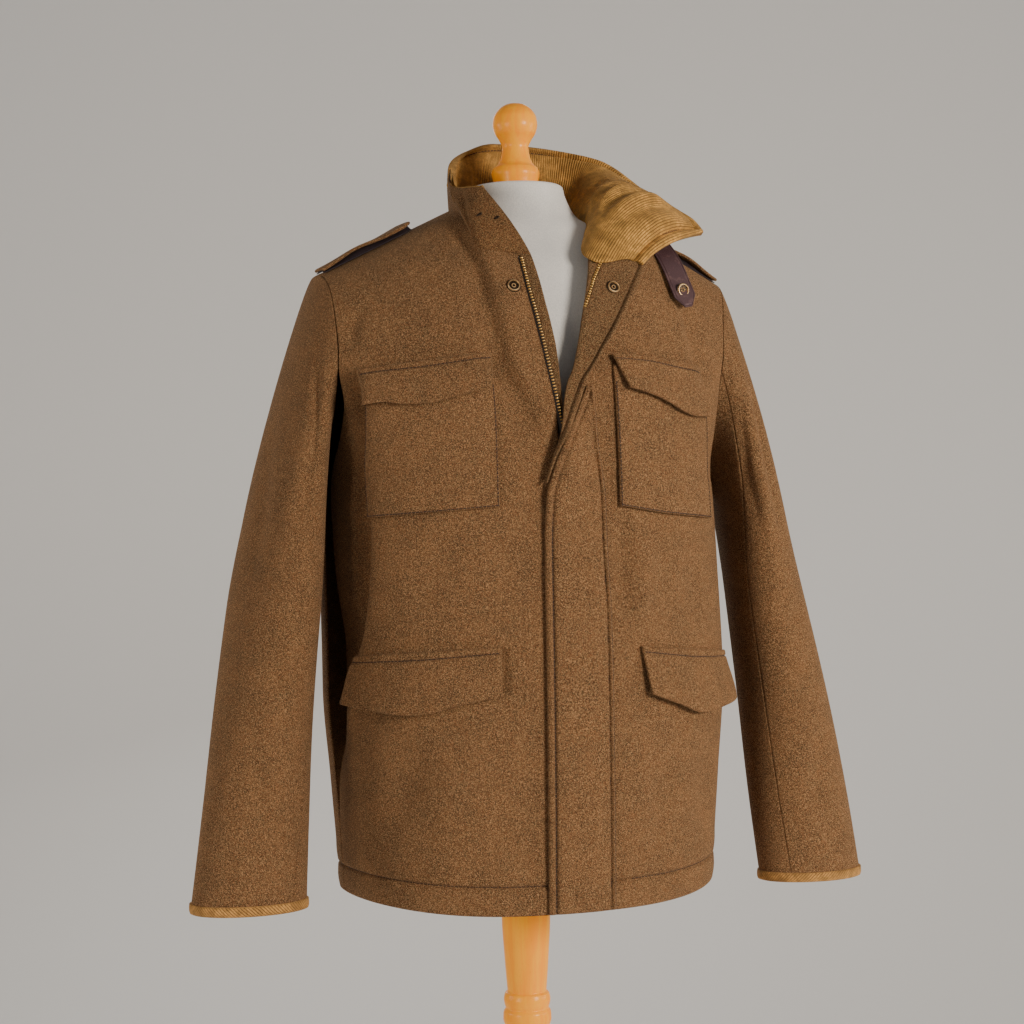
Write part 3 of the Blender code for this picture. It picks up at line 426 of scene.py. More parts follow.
def move_to(mesh: Mesh, verts: Sequence[bmesh.types.BMVert], places: Array,
            flat: tuple[Array, Array] | None = None) -> None:
    """Move vertices, and keep where they lie on the flat cut as a UV map.

    Args:
        mesh: their mesh.
        verts: the vertices.
        places: their new places.
        flat: distances along and up the flat cut, in metres, or none for no map.
    """
    for vert, place in zip(verts, places):
        vert.co = place
    if flat is None:
        return
    layer = mesh.loops.layers.uv.new("cut")
    spots = dict(zip(verts, zip(*flat)))
    for face in mesh.faces:
        for loop in face.loops:
            loop[layer].uv = spots[loop.vert]


# ---- shells ----


@dataclass
class Cut:
    """A piece of cloth as a maker cuts it, before it is mapped on a surface.

    Attributes:
        name: the piece's name.
        width: its measured width, along u.
        length: its measured length, along v.
        wall: thickness.
        base: where the inner face lies, out from the surface.
        step: the mesh's spacing.
        rim: how far in from an edge its roundness starts.
        u_marks: distances along u that get extra lines, such as a row of stitches.
        v_marks: the same along v.
        area: flat area where the cut isn't a rectangle; not used.
    """

    name: str
    width: float
    length: float
    wall: float = 0.0025
    base: float = -0.0025
    step: float = 0.004
    rim: float = 0.0018
    u_marks: tuple[float, ...] = ()
    v_marks: tuple[float, ...] = ()
    area: float | None = None

    def lines(self, length: float, marks: tuple[float, ...]) -> Array:
        """Places of the mesh's lines along one side.

        Args:
            length: the side's length.
            marks: distances that get extra lines.

        Returns:
            Shares from 0 to 1, in rising order.
        """
        count = max(int(round(length / self.step)), 2)
        places = list(np.linspace(0.0, length, count + 1))
        near_rim = [self.rim * share for share in (0.1, 0.35, 0.7, 1.0, 1.6)]
        places += near_rim + [length - value for value in near_rim]
        for mark in marks:
            places += [mark + offset for offset in (-0.002, -0.0009, -0.0004, 0.0, 0.0004, 0.0009, 0.002)]
        kept: list[float] = []
        for place in sorted(value for value in places if 0.0 <= value <= length):
            if not kept or place - kept[-1] > 0.00012:
                kept.append(place)
        kept[-1] = length
        return np.array(kept) / length

    def make(self, surface: Surface) -> Piece:
        """Build the piece as a closed shell with rounded edges.

        Args:
            surface: maps shares u and v and a distance out to points.

        Returns:
            The new object, with a UV map in metres.
        """
        u_lines = self.lines(self.width, self.u_marks)
        v_lines = self.lines(self.length, self.v_marks)
        mesh = bmesh.new()
        bmesh.ops.create_grid(mesh, x_segments=len(u_lines) - 1, y_segments=len(v_lines) - 1, size=0.5)
        inner = list(mesh.verts)
        made = bmesh.ops.extrude_face_region(mesh, geom=mesh.faces[:])
        outer = [item for item in made["geom"] if isinstance(item, bmesh.types.BMVert)]
        verts = inner + outer
        column, row = on_grid(verts, len(u_lines) - 1, len(v_lines) - 1)
        u, v = u_lines[column], v_lines[row]
        edge = np.minimum(np.minimum(u, 1.0 - u) * self.width, np.minimum(v, 1.0 - v) * self.length)
        full = np.sqrt(1.0 - np.square(1.0 - np.minimum(edge / self.rim, 1.0)))
        facing = np.where(np.arange(len(verts)) < len(inner), -1.0, 1.0)
        out = self.base + self.wall / 2.0 * (1.0 + facing * full)
        move_to(mesh, verts, surface(u, v, out), (u * self.width, v * self.length))
        bmesh.ops.remove_doubles(mesh, verts=mesh.verts[:], dist=0.000004)
        return add_piece(self.name, mesh)


def face_outward(mesh: Mesh) -> None:
    """Turn a closed mesh's faces outward, also where it is thin and curved."""
    bmesh.ops.recalc_face_normals(mesh, faces=mesh.faces[:])
    if mesh.calc_volume(signed=True) < 0.0:
        bmesh.ops.reverse_faces(mesh, faces=mesh.faces[:])


def put_in_scene(name: str, data: bpy.types.ID) -> Piece:
    """A new object with some data, linked in the scene."""
    thing = bpy.data.objects.new(name, data)
    bpy.context.scene.collection.objects.link(thing)
    return thing


def add_piece(name: str, mesh: Mesh, crisp: float | None = None) -> Piece:
    """Put a bmesh in the scene as a smooth piece at the origin.

    Args:
        name: the piece's name.
        mesh: its mesh, which is freed.
        crisp: angle in degrees over which an edge stays sharp.

    Returns:
        The new object.
    """
    face_outward(mesh)
    data = bpy.data.meshes.new(name)
    mesh.to_mesh(data)
    mesh.free()
    data.shade_smooth()
    if crisp is not None:
        data.set_sharp_from_angle(angle=math.radians(crisp))
    return put_in_scene(name, data)


def settle(piece: Piece, finish: "Finish", nodes: Sequence[str] = ()) -> Piece:
    """Dress a piece, hide the CAD parts that it replaces and let it ride on the coat's body.

    Args:
        piece: the new piece.
        finish: its finish.
        nodes: CAD nodes that it stands for.

    Returns:
        The piece.
    """
    piece.data.materials.clear()
    piece.data.materials.append(finish.material())
    if nodes:
        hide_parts(*nodes)
    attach(piece, COAT)
    LOG.info("%s: %d faces", piece.name, len(piece.data.polygons))
    return piece


def lay_cloth(cut: Cut, surface: Surface, finish: "Finish",
              nodes: Sequence[str] = ()) -> None:
    """Build a piece of cloth.

    Args:
        cut: the piece as it is cut.
        surface: the surface that it is mapped on.
        finish: its finish.
        nodes: CAD nodes that it stands for.
    """
    piece = settle(cut.make(surface), finish, nodes)


# ---- sleeves ----


@dataclass
class SleeveForm:
    """A sleeve as a surface: ring round it, 0 on the shoulder and 0.25 in front, and a share down."""

    side: Side
    body: BodyForm
    lengthen: float
    creases: tuple[Crease, ...] = ()
    around: float = 0.36
    down: float = 0.64
    armhole_clear: float = 0.0004
    cap_bulge: float = 0.005
    seam_sink: float = 0.0018
    seam_width: float = 0.0035
    step: float = 0.006
    rows: SmoothTable = field(default_factory=lambda: SmoothTable(
        "share z x y across deep turn", (
            (0.3, 1.17, 0.2525, -0.014, 0.0335, 0.068, 8.0),
            (0.45, 1.08, 0.2665, -0.022, 0.0405, 0.062, 14.0),
            (0.64, 0.97, 0.2815, -0.033, 0.0475, 0.053, 12.0),
            (0.82, 0.88, 0.2915, -0.042, 0.0525, 0.044, 7.0),
            (1.0, 0.794, 0.301, -0.05, 0.056, 0.037, 0.0))))

    def armhole(self, ring: Array) -> Array:
        """Points of the armhole seam."""
        ring = np.mod(ring, 1.0)
        sign = np.full(ring.shape, float(self.side.value))
        level = np.where(ring > 0.5, 2.0 * ring, 2.0 - 2.0 * ring)
        behind = (ring > 0.5)[..., None]
        seam = np.where(behind, self.body.skin(sign, level, True), self.body.skin(sign, level, False))
        return seam + np.array([self.side.value * self.armhole_clear, 0.0, 0.0])

    def section(self, ring: Array, share: Array) -> Array:
        """Points of the tube below the underarm."""
        angle = ring * math.tau
        rows = self.rows
        turn = np.radians(rows.at("turn", share))
        outward = rows.at("across", share) * np.cos(angle)
        forward = rows.at("deep", share) * np.sin(angle)
        first = rows.keys[0]
        x = rows.at("x", share) + outward * np.cos(turn) - forward * np.sin(turn)
        y = rows.at("y", share) - forward * np.cos(turn) - outward * np.sin(turn)
        z = rows.at("z", share) - self.lengthen * (share - first) / (1.0 - first)
        return np.stack([self.side.value * x, y, z], axis=-1)

    def skin(self, ring: Array, share: Array) -> Array:
        """Points of the plain outer face: the cap's curve, then the tube."""
        first = self.rows.keys[0]
        tube = self.section(ring, np.maximum(share, first))
        start = self.armhole(ring)
        end = self.section(ring, np.full(share.shape, first))
        below = self.section(ring, np.full(share.shape, first + 0.01))
        down = below - end
        down /= np.linalg.norm(down, axis=-1, keepdims=True)
        top = 0.5 + 0.5 * np.cos(ring * math.tau)
        reach = (self.cap_bulge * (0.55 + 0.45 * top))[..., None]
        leave = start + reach * np.array([self.side.value, 0.0, -0.25])
        length = np.linalg.norm(end - start, axis=-1, keepdims=True)
        arrive = end - down * length * 0.42
        part = (np.minimum(share, first) / first)[..., None]
        rest = 1.0 - part
        cap = start * rest**3 + leave * 3.0 * rest**2 * part + arrive * 3.0 * rest * part**2 + end * part**3
        return np.where((share >= first)[..., None], tube, cap)

    def point(self, ring: Array, share: Array, out: Array) -> Array:
        """Points at a distance out from the creased outer face.

        Args:
            ring: places round the sleeve.
            share: places down the sleeve.
            out: distances out, in metres.

        Returns:
            The points, one row each.
        """
        here = self.skin(ring, share)
        round_it = self.skin(ring + self.step, share) - self.skin(ring - self.step, share)
        low, high = np.minimum(share + self.step, 1.0), np.maximum(share - self.step, 0.0)
        down_it = self.skin(ring, low) - self.skin(ring, high)
        turned = np.mod(ring + 0.3, 1.0) - 0.3
        lift = relief(self.creases, turned * self.around, share * self.down) + out
        lift -= self.seam_sink * bell(share * self.down / self.seam_width)
        return lifted(here, down_it, round_it, -self.side.value * lift)


# ---- collar ----


@dataclass
class CollarForm:
    """The collar as a surface: a share along it from the wearer's right end, and a share up."""

    creases: tuple[Crease, ...] = ()
    long: float = 0.52
    tall: float = 0.095
    step: float = 0.008
    rows: SmoothTable = field(default_factory=lambda: SmoothTable(
        "share bx by bz mx my mz tx ty tz", (
            (0.0, -24.5, -108.5, 1421.2, -46, -106, 1456, -70, -90.5, 1490.5),
            (0.06, -50, -106.5, 1423, -66, -100, 1458.5, -76, -82, 1491),
            (0.12, -74.5, -101.5, 1426.2, -80, -88, 1461.5, -79, -63, 1493),
            (0.2, -81.5, -80, 1451.2, -85, -62, 1476, -80.5, -35, 1498),
            (0.3, -78.5, -40, 1472.2, -81, -29, 1494, -74, -4, 1512),
            (0.4, -69, 12, 1475, -68, 20, 1506, -60, 34, 1533),
            (0.48, -43, 42, 1469, -43, 52, 1510, -35, 61, 1549),
            (0.56, 0, 50, 1466.5, 1, 61, 1513, 1, 70, 1559),
            (0.64, 43, 42, 1469, 48, 57, 1514, 52, 70, 1556),
            (0.72, 69, 12, 1475, 88, 26, 1514, 110, 48, 1538.5),
            (0.8, 69, -38, 1473, 101, -18, 1507, 150, 18, 1500),
            (0.87, 56, -76, 1458, 104, -46, 1496, 168, 0, 1484.5),
            (0.92, 46, -102, 1439, 108, -66, 1484.5, 178, -11, 1474.5),
            (0.96, 62, -115, 1425, 120, -78, 1469, 186, -23, 1466),
            (1.0, 89.5, -114, 1412, 130, -86, 1437, 192, -36, 1455)), unit=MM))

    def skin(self, share: Array, height: Array) -> Array:
        """Points of the plain wool face, on a parabola through base, middle and top."""
        base, middle, top = (
            np.stack([self.rows.at(row + axis, share) for axis in "xyz"], axis=-1) for row in "bmt")
        height = height[..., None]
        return (base * (1.0 - height) * (1.0 - 2.0 * height) + middle * 4.0 * height * (1.0 - height)
                + top * height * (2.0 * height - 1.0))

    def point(self, share: Array, height: Array, out: Array) -> Array:
        """Points at a distance out from the creased wool face.

        Args:
            share: places along the collar.
            height: places up the collar.
            out: distances out, in metres; negative is the corduroy side.

        Returns:
            The points, one row each.
        """
        here = self.skin(share, height)
        ahead, behind = np.minimum(share + self.step, 1.0), np.maximum(share - self.step, 0.0)
        along = self.skin(ahead, height) - self.skin(behind, height)
        above, under = np.minimum(height + self.step, 1.0), height - self.step
        rise = self.skin(share, above) - self.skin(share, under)
        lift = relief(self.creases, share * self.long, height * self.tall) + out
        return lifted(here, rise, along, lift)


# ---- the coat's panels ----


@dataclass
class Panels:
    """Fronts and back, with turned hems, on the body's surface."""

    body: BodyForm
    wool: "Melange"
    width: float = 0.262
    length: float = 0.7
    hem_deep: float = 0.028
    level_rise: float = 0.42
    groove: float = 0.0022
    chain_clear: float = 0.0024
    right_edge: Path = (
        (0.0, -0.0048), (0.6, -0.0048), (0.88, -0.0074), (1.0, -0.0102), (1.04, -0.015),
        (1.105, -0.0162), (1.154, -0.0195), (1.21, -0.024), (1.3, -0.0297), (1.373, -0.0334),
        (1.451, -0.0363), (1.552, -0.038), (1.568, -0.07), (1.6, -0.076), (1.7, -0.0775),
        (1.85, -0.0765), (2.0, -0.0745))
    left_edge: Path = (
        (0.0, 0.0048), (1.0, 0.0048), (1.168, 0.005), (1.196, 0.006), (1.255, 0.0115), (1.34, 0.02),
        (1.471, 0.032), (1.577, 0.0395), (1.6, 0.046), (1.64, 0.052), (1.75, 0.062), (2.0, 0.074))

    def hem_sink(self, level: Array) -> Array:
        """How far the hem's row of stitches pulls the cloth in, with a roll below it."""
        rise = level * self.level_rise
        line = bell((rise - self.hem_deep) / 0.0015)
        roll = bell((rise - self.hem_deep * 0.45) / (self.hem_deep * 0.4))
        above = bell((rise - self.hem_deep * 1.45) / (self.hem_deep * 0.3))
        return -self.groove * line + 0.0016 * roll + 0.0007 * above

    def hem_mark(self) -> float:
        """Where the hem's row of stitches lies on the cut."""
        return self.hem_deep * self.length / (2.0 * self.level_rise)

    def front(self, side: Side) -> None:
        """One front, from its zip edge and neckline to the side seam, armhole and shoulder.

        Args:
            side: the wearer's side.
        """
        edge = self.right_edge if side is Side.RIGHT else self.left_edge

        def surface(u: Array, v: Array, out: Array) -> Array:
            level = 2.0 * v
            clear = self.chain_clear * bell((level - 1.33) / 0.22) if side is Side.RIGHT else 0.0
            start = self.body.across_of(straight(edge, level) - clear, level)
            across = start + (side.value - start) * u
            armhole = 0.0012 * bell((1.0 - u) * self.width / 0.0035) * ease((level - 0.95) / 0.1)
            return self.body.point(across, level, out + self.hem_sink(level) - armhole)

        marks = (self.hem_mark(), 0.7715 * self.length, 0.7813 * self.length, 0.8 * self.length)
        cut = Cut("front_%s_cloth" % side.word, self.width, self.length, v_marks=marks, area=0.166)
        lay_cloth(cut, surface, self.wool, ["front_" + side.word])

    def back(self) -> None:
        """The back in one piece, with its neckline cut down at the centre."""
        def surface(u: Array, v: Array, out: Array) -> Array:
            across = 2.0 * u - 1.0
            level = 2.0 * v
            place = self.body.skin(across, np.full(level.shape, 2.0), True)[..., 0]
            reach = np.minimum(np.abs(place) / self.body.neck_x, 1.0)
            crown = 1.76 + 0.24 * reach**2
            level = np.where(level > 1.0, 1.0 + (level - 1.0) * (crown - 1.0), level)
            return self.body.point(across, level, out + self.hem_sink(level), back=True)

        cut = Cut("back_cloth", 2.0 * self.width, self.length, v_marks=(self.hem_mark(),), area=0.345)
        lay_cloth(cut, surface, self.wool, ["back"])

    def build(self) -> None:
        """Build the three panels."""
        for side in Side:
            self.front(side)
        self.back()


# ---- fly, zip and snaps ----


@dataclass
class Fly:
    """The fly over the zip, its turned-back upper end and the guard under the zip."""

    body: BodyForm
    wool: "Melange"
    # wool of the facing and the guard: a darker copy of the coat's wool, as painted shade
    facing_wool_painted_shade: "Melange"
    wall: float = 0.0034
    lay: float = 0.0004
    lift: float = 0.003
    bulge: float = 0.008
    bulge_at: Pair = (-0.009, 1.23)
    bulge_size: Pair = (0.02, 0.035)
    stand: float = 0.0062
    settles: Pair = (1.27, 1.33)
    edge_stitch: float = 0.0075
    double: Pair = (0.0012, 0.0062)
    sinks: Pair = (0.0004, 0.0021)
    rows: SmoothTable = field(default_factory=lambda: SmoothTable(
        "z free stitched", (
            (0.783, -0.0315, 0.0395), (0.99, -0.0318, 0.0385), (1.074, -0.0318, 0.0378),
            (1.133, -0.032, 0.0345), (1.1844, -0.0305, 0.0325), (1.211, -0.0245, 0.029),
            (1.2376, -0.0145, 0.025), (1.256, -0.0045, 0.0238), (1.272, 0.0035, 0.0228),
            (1.29, 0.0118, 0.0215))))
    facing_rows: SmoothTable = field(default_factory=lambda: SmoothTable(
        "share roll_z roll_x free_z free_x", (
            (0.0, 1196, -32.5, 1199, -30), (1.0, 1224, -24.5, 1226, -20.5),
            (2.0, 1248.6, -16.5, 1250, -7.5), (3.0, 1278, -11, 1280, 6.5),
            (4.0, 1294.5, -6.4, 1298, 13), (5.0, 1306, -0.5, 1308, 20), (6.0, 1330, 7.2, 1330, 35.5),
            (7.0, 1361, 15.8, 1350, 51), (8.0, 1401.5, 28.5, 1376, 69.5),
            (9.0, 1427.5, 36.2, 1405, 89.5), (10.0, 1438, 42, 1419, 100)), unit=MM))
    chain_rows: Path = ((0.795, 0.02), (0.83, 0.075), (0.88, 0.13), (0.93, 0.2), (0.985, 0.29))
    guard_edge: Path = (
        (1.11, -0.0105), (1.168, -0.0118), (1.257, -0.0139), (1.383, -0.0198), (1.499, -0.0233),
        (1.562, -0.025))

    def lift_at(self, x: Array, z: Array) -> Array:
        """How far the fly's inner face stands off the front: a soft bulge over the slider."""
        wide = (x - self.bulge_at[0]) / self.bulge_size[0]
        tall = (z - self.bulge_at[1]) / self.bulge_size[1]
        return self.lift + self.bulge * bell(np.hypot(wide, tall))

    def seam_sink(self, inward: Array) -> Array:
        """How far a row of stitches at a distance from an edge pulls the cloth in."""
        return (0.0025 * bell((inward - self.edge_stitch) / 0.0013)
                - 0.0015 * bell((inward - self.edge_stitch * 0.45) / (self.edge_stitch * 0.4)))

    def facing_point(self, u: Array, v: Array, out: Array) -> Array:
        """Points over the turned-back facing, u from its roll to its free edge, v upwards."""
        place = np.clip(v * 9.0, 0.0, self.facing_rows.keys[-1])
        x, z = (blend(self.facing_rows, "roll_" + axis, "free_" + axis, place, u) for axis in "xz")
        settled = np.clip((z - self.settles[0]) / (self.settles[1] - self.settles[0]), 0.0, 1.0)
        resting = 1.4 * self.lay + self.stand * np.maximum(u, 0.0)
        lift = self.lift_at(x, z) * (1.0 - settled) + resting * settled
        return self.body.front(x, z, lift + out)

    def outside(self) -> None:
        """The fly's outside, with an edge row and a double row of stitches pulled in."""
        low, high = self.rows.keys[0], self.rows.keys[-1]

        def surface(u: Array, v: Array, out: Array) -> Array:
            z = low + (high - low) * v
            free, stitched = self.rows.at("free", z), self.rows.at("stitched", z)
            x = free + (stitched - free) * u
            settled = np.minimum((1.0 - u) / 0.3, 1.0)
            lift = self.lay + (self.lift_at(x, z) - self.lay) * settled
            wide = stitched - free
            lift = lift - 0.002 * bell(u * wide / 0.008) * ease((1.19 - z) / 0.05)
            inward = (1.0 - u) * wide
            pull = self.seam_sink(u * wide)
            pucker = 1.0 + 0.3 * np.sin(z * 700.0 + 3.0 * np.sin(z * 190.0))
            for row, sink in zip(self.double, self.sinks):
                pull = pull + sink * pucker * bell((inward - row) / 0.0011)
            pull = pull - 0.0008 * bell((inward - 0.0038) / 0.0014)
            flat = 0.3 + 0.7 * ease(inward / 0.0034)
            return self.body.front(x, z, lift + out * flat - pull * (out > OUTER_FACE))

        width = 0.07
        marks = (self.edge_stitch, width - self.double[0], width - self.double[1])
        cut = Cut("fly_outer_cloth", width, high - low, self.wall, 0.0, 0.0035, 0.0017,
                  u_marks=marks, area=0.0322)
        lay_cloth(cut, surface, self.wool, ["fly_outer"])

    def facing(self) -> None:
        """The turned-back facing, with the ridge of its stitched free edge."""
        def surface(u: Array, v: Array, out: Array) -> Array:
            wide = 0.004 + 0.054 * ease(v * 1.1)
            pull = self.seam_sink((1.0 - u) * wide)
            row = v * 10.0 / 9.0
            channel = 0.0012 * bell(u * wide / 0.004) * ease(v * 4.0) * ease((0.8 - row) / 0.04)
            beside = (u - straight(self.chain_rows, row)) * wide
            channel += 0.0022 * bell(beside / 0.0021) * ease((row - 0.77) / 0.04)
            return self.facing_point(u, row, out - (pull + channel) * (out > OUTER_FACE))

        cut = Cut("fly_facing_cloth", 0.057, 0.278, self.wall, 0.0, 0.0018, 0.0017,
                  u_marks=(0.057 - self.edge_stitch,), area=0.0088)
        lay_cloth(cut, surface, self.facing_wool_painted_shade, ["fly_facing"])

    def guard(self, panels: Panels) -> None:
        """The narrow guard behind the zip on the wearer's right."""
        first, last = self.guard_edge[0][0], self.guard_edge[-1][0]

        def surface(u: Array, v: Array, out: Array) -> Array:
            level = first + (last - first) * v
            seam = straight(panels.right_edge, level) + 0.0028
            x = seam + (straight(self.guard_edge, level) - seam) * u
            return self.body.point(self.body.across_of(x, level), level, out - 0.0016 * (1.0 - u))

        cut = Cut("zip_guard_cloth", 0.012, 0.175, 0.0026, -0.003, 0.003, 0.0012, area=0.0019)
        lay_cloth(cut, surface, self.facing_wool_painted_shade, ["zip_guard"])

    def build(self, panels: Panels) -> None:
        """Build the fly's pieces."""
        self.outside()
        self.facing()
        self.guard(panels)


@dataclass
class Zip:
    """Metal teeth along the open and the closed chain, with the woven tape under them, whose dark colour is
    painted shade in the groove beside the teeth.
    """

    body: BodyForm
    fly: Fly
    brass: "Metal"
    tape: "Tape"
    pitch: float = 0.003
    tooth: Triple = (0.0014, 0.003, 0.0024)
    tape_width: float = 0.0105
    tape_past: float = 0.0022
    tape_deep: float = 0.0034
    right_path: Path = (
        (-0.01, 1.245), (-0.0147, 1.2646), (-0.018, 1.2819), (-0.0229, 1.306), (-0.0278, 1.3352),
        (-0.0319, 1.3617), (-0.0359, 1.3898), (-0.0374, 1.4186))
    closed_path: Path = ((0.0, 0.793), (0.0, 0.95), (-0.0005, 1.08), (-0.004, 1.19), (-0.0078, 1.232))

    def teeth(self, name: str, path: Sequence[Pair], over: Surface, out: float, node: str) -> None:
        """Joined teeth of one chain.

        Args:
            name: the piece's name.
            path: the chain in the surface's own coordinates.
            over: the surface.
            out: the chain's distance out.
            node: the CAD node that it stands for.
        """
        mesh = bmesh.new()
        add_bars(mesh, spaced(path, over, out, self.pitch), self.tooth)
        bmesh.ops.bevel(mesh, geom=mesh.edges[:], offset=0.0005, segments=1, profile=0.5,
                        affect="EDGES", material=-1)
        settle(add_piece(name, mesh, 65.0), self.brass, [node])

    def tape_strip(self) -> None:
        """The woven tape of the right chain, which comes out from under the front's edge; its near-black
        colour is painted shade in the groove there.
        """
        table, span = smooth_path(self.right_path), len(self.right_path) - 1.0
        centres = spaced(self.right_path, self.body.front, 0.0, self.pitch)[0]
        length = float(step_lengths(centres).sum()) + self.pitch

        def surface(u: Array, v: Array, out: Array) -> Array:
            away = (u - 1.0) * self.tape_width + self.tape_past
            sunk = self.tape_deep * (1.0 - ease((away + 0.004) / 0.0028))
            return self.body.front(table.at("a", v * span) + away, table.at("b", v * span), out - sunk)

        cut = Cut("zip_tape_right_and_shade", self.tape_width, length, 0.0006, 0.0, 0.0022, 0.0003)
        piece = settle(cut.make(surface), self.tape)

    def build(self) -> None:
        """Build the teeth and tapes, and give the slider and its tab their brass."""
        front = self.body.front
        self.teeth("zip_teeth_right", self.right_path, front, 0.002, "zip_chain_right")
        left = [(share, row) for row, share in self.fly.chain_rows]
        self.teeth("zip_teeth_left", left, self.fly.facing_point, self.fly.wall - 0.0002, "zip_chain_left")
        self.teeth("zip_teeth_closed", self.closed_path, front, -0.0005, "zip_chain_closed")
        self.tape_strip()
        for node in ("zip_slider", "zip_pull"):
            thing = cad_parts[node]
            thing.data.materials.clear()
            thing.data.materials.append(self.brass.material())


@dataclass
class Snaps:
    """Ring snaps on the front, the facing and the throat tab, and studs on the collar."""

    body: BodyForm
    fly: Fly
    collar: CollarForm
    brass: "Metal"
    dark: "Metal"
    staple_size: Triple = (0.0032, 0.0014, 0.0009)
    ring_profile: Path = (
        (4.8, 0.4), (4.9, 1.6), (5.3, 2.2), (5.8, 2.1), (6.2, 1.3), (6.3, 0.3), (6, 0), (5, 0),
        (4.8, 0.4))
    post_profile: Path = (
        (1.4, 0.4), (1.5, 1), (1.8, 1.2), (2.1, 1), (2.2, 0.4), (1.8, 0.2), (1.4, 0.4))
    # a near-black disc under the rings, reaching a little past them: painted shade in the hollow and round
    # the rim
    shade_disc_profile: Path = (
        (0, 0.7), (3, 0.6), (5, 0.5), (7, 0.4), (7.2, 0.1), (0, 0.1))

    def seat(self, over: Surface, a: float, b: float, out: float) -> Matrix:
        """A place on a surface, with Z turned outward."""
        low, high = (over(np.array([a]), np.array([b]), np.array([out + rise]))[0] for rise in (0.0, PROBE))
        turn = Vector(high - low).normalized().to_track_quat("Z", "Y").to_matrix().to_4x4()
        return Matrix.Translation(Vector(low)) @ turn

    def disc(self, name: str, seat: Matrix, node: str) -> None:
        """A snap on its seat: an outer ring and a small inner one on a dark cup, which is painted shade in
        the snap's hollow and round its rim.

        Args:
            name: the first part of the pieces' names.
            seat: middle of its underside, and its turn.
            node: the CAD node that it stands for.
        """
        for part, profiles, finish, nodes in (
                ("rings", (self.ring_profile, self.post_profile), self.brass, [node]),
                ("cup", (self.shade_disc_profile,), self.dark, [])):
            mesh = bmesh.new()
            for profile in profiles:
                add_turned(mesh, profile, 40)
            bmesh.ops.remove_doubles(mesh, verts=mesh.verts[:], dist=0.00001)
            bmesh.ops.transform(mesh, matrix=seat, verts=mesh.verts[:])
            settle(add_piece(name + "_" + part, mesh, 50.0), finish, nodes)

    def staple(self, name: str, seat: Matrix, node: str) -> None:
        """A short staple on the collar, near-black as painted shade for the stud's dark hollow."""
        mesh = bmesh.new()
        bmesh.ops.create_uvsphere(mesh, u_segments=16, v_segments=10, radius=1.0)
        lean = Matrix.Rotation(math.radians(28.0), 4, "Z")
        size = Matrix.Diagonal((*self.staple_size, 1.0))
        bmesh.ops.transform(mesh, matrix=seat @ lean @ size, verts=mesh.verts[:])
        settle(add_piece(name, mesh, 60.0), self.dark, [node])

    def build(self, tab: "ThroatTab") -> None:
        """Build every snap and stud."""
        self.disc("front_snap", self.seat(self.body.front, -0.0507, 1.3878, 0.0002), "snap_front")
        self.disc("facing_snap", self.seat(self.fly.facing_point, 0.56, 0.885, self.fly.wall), "snap_facing")
        self.disc("tab_snap", self.seat(tab.point, 0.5, 0.265, tab.wall), "snap_throat_tab")
        for number, (share, height) in enumerate(((0.085, 0.52), (0.035, 0.5)), 1):
            seat = self.seat(self.collar.point, share, height, 0.0)
            self.staple("collar_staple_%d" % number, seat, "snap_collar_%d" % number)


# ---- pockets, straps and tab ----


@dataclass
class LaidPiece:
    """A piece that lies on the front, between a top and a bottom edge given in x and z.

    Attributes:
        name: the piece's name.
        node: the CAD node that it stands for.
        top: the top edge from the centre outwards, in millimetres.
        bottom: the bottom edge, likewise.
        lift: clearance at the sewn top edge.
        stand: how much more the free bottom edge stands off.
        puff: how far the middle bulges.
        wall: thickness.
        stitch: distance of a row of stitches below the top, or none.
        outer_stand: how much more the outer lower corner stands off.
    """

    name: str
    node: str
    top: Path
    bottom: Path
    lift: float
    stand: float
    puff: float
    wall: float
    stitch: float | None = None
    outer_stand: float = 0.0

    def shares(self, edge: Path) -> SmoothTable:
        """The edge as smooth columns over the share of its length."""
        points = np.array(edge) * MM
        steps = step_lengths(points)
        walked = np.concatenate([[0.0], np.cumsum(steps)]) / steps.sum()
        return SmoothTable("share x z", [(w, *p) for w, p in zip(walked, points)])

    def sizes(self, body: BodyForm) -> Triple:
        """Measured width, length and flat area on the front."""
        top, bottom = self.shares(self.top), self.shares(self.bottom)
        share, none = np.linspace(0.0, 1.0, 40), np.zeros(40)
        tops = body.front(top.at("x", share), top.at("z", share), none)
        bottoms = body.front(bottom.at("x", share), bottom.at("z", share), none)
        width = float(step_lengths(tops).sum())
        heights = np.linalg.norm(tops - bottoms, axis=1)
        return width, float(heights.max()), float(heights.mean()) * width

    def surface(self, body: BodyForm) -> Surface:
        """The surface that the piece is mapped on, u outwards and v upwards."""
        top, bottom = self.shares(self.top), self.shares(self.bottom)
        length = self.sizes(body)[1]

        def over(u: Array, v: Array, out: Array) -> Array:
            x, z = (bottom.at(axis, u) + (top.at(axis, u) - bottom.at(axis, u)) * v for axis in "xz")
            rise = self.lift + self.stand * (1.0 - v) ** 1.4
            rise += self.puff * np.sin(np.pi * u) ** 0.6 * np.sin(np.pi * np.clip(v, 0.0, 1.0)) ** 0.8
            rise += self.outer_stand * ease((u - 0.55) / 0.45) * ease(1.0 - v)
            if self.stitch is not None:
                below = (1.0 - v) * length
                rise = rise - 0.0015 * bell((below - self.stitch) / 0.0011) * (out > OUTER_FACE)
            return body.front(x, z, rise + out)

        return over

    def build(self, body: BodyForm, finish: "Finish") -> None:
        """Build the piece on the front.

        Args:
            body: the coat's body.
            finish: its finish.
        """
        width, length, area = self.sizes(body)
        marks = () if self.stitch is None else (length - self.stitch,)
        cut = Cut(self.name, width, length, self.wall, 0.0, 0.003, 0.0019, v_marks=marks, area=area)
        lay_cloth(cut, self.surface(body), finish, [self.node])


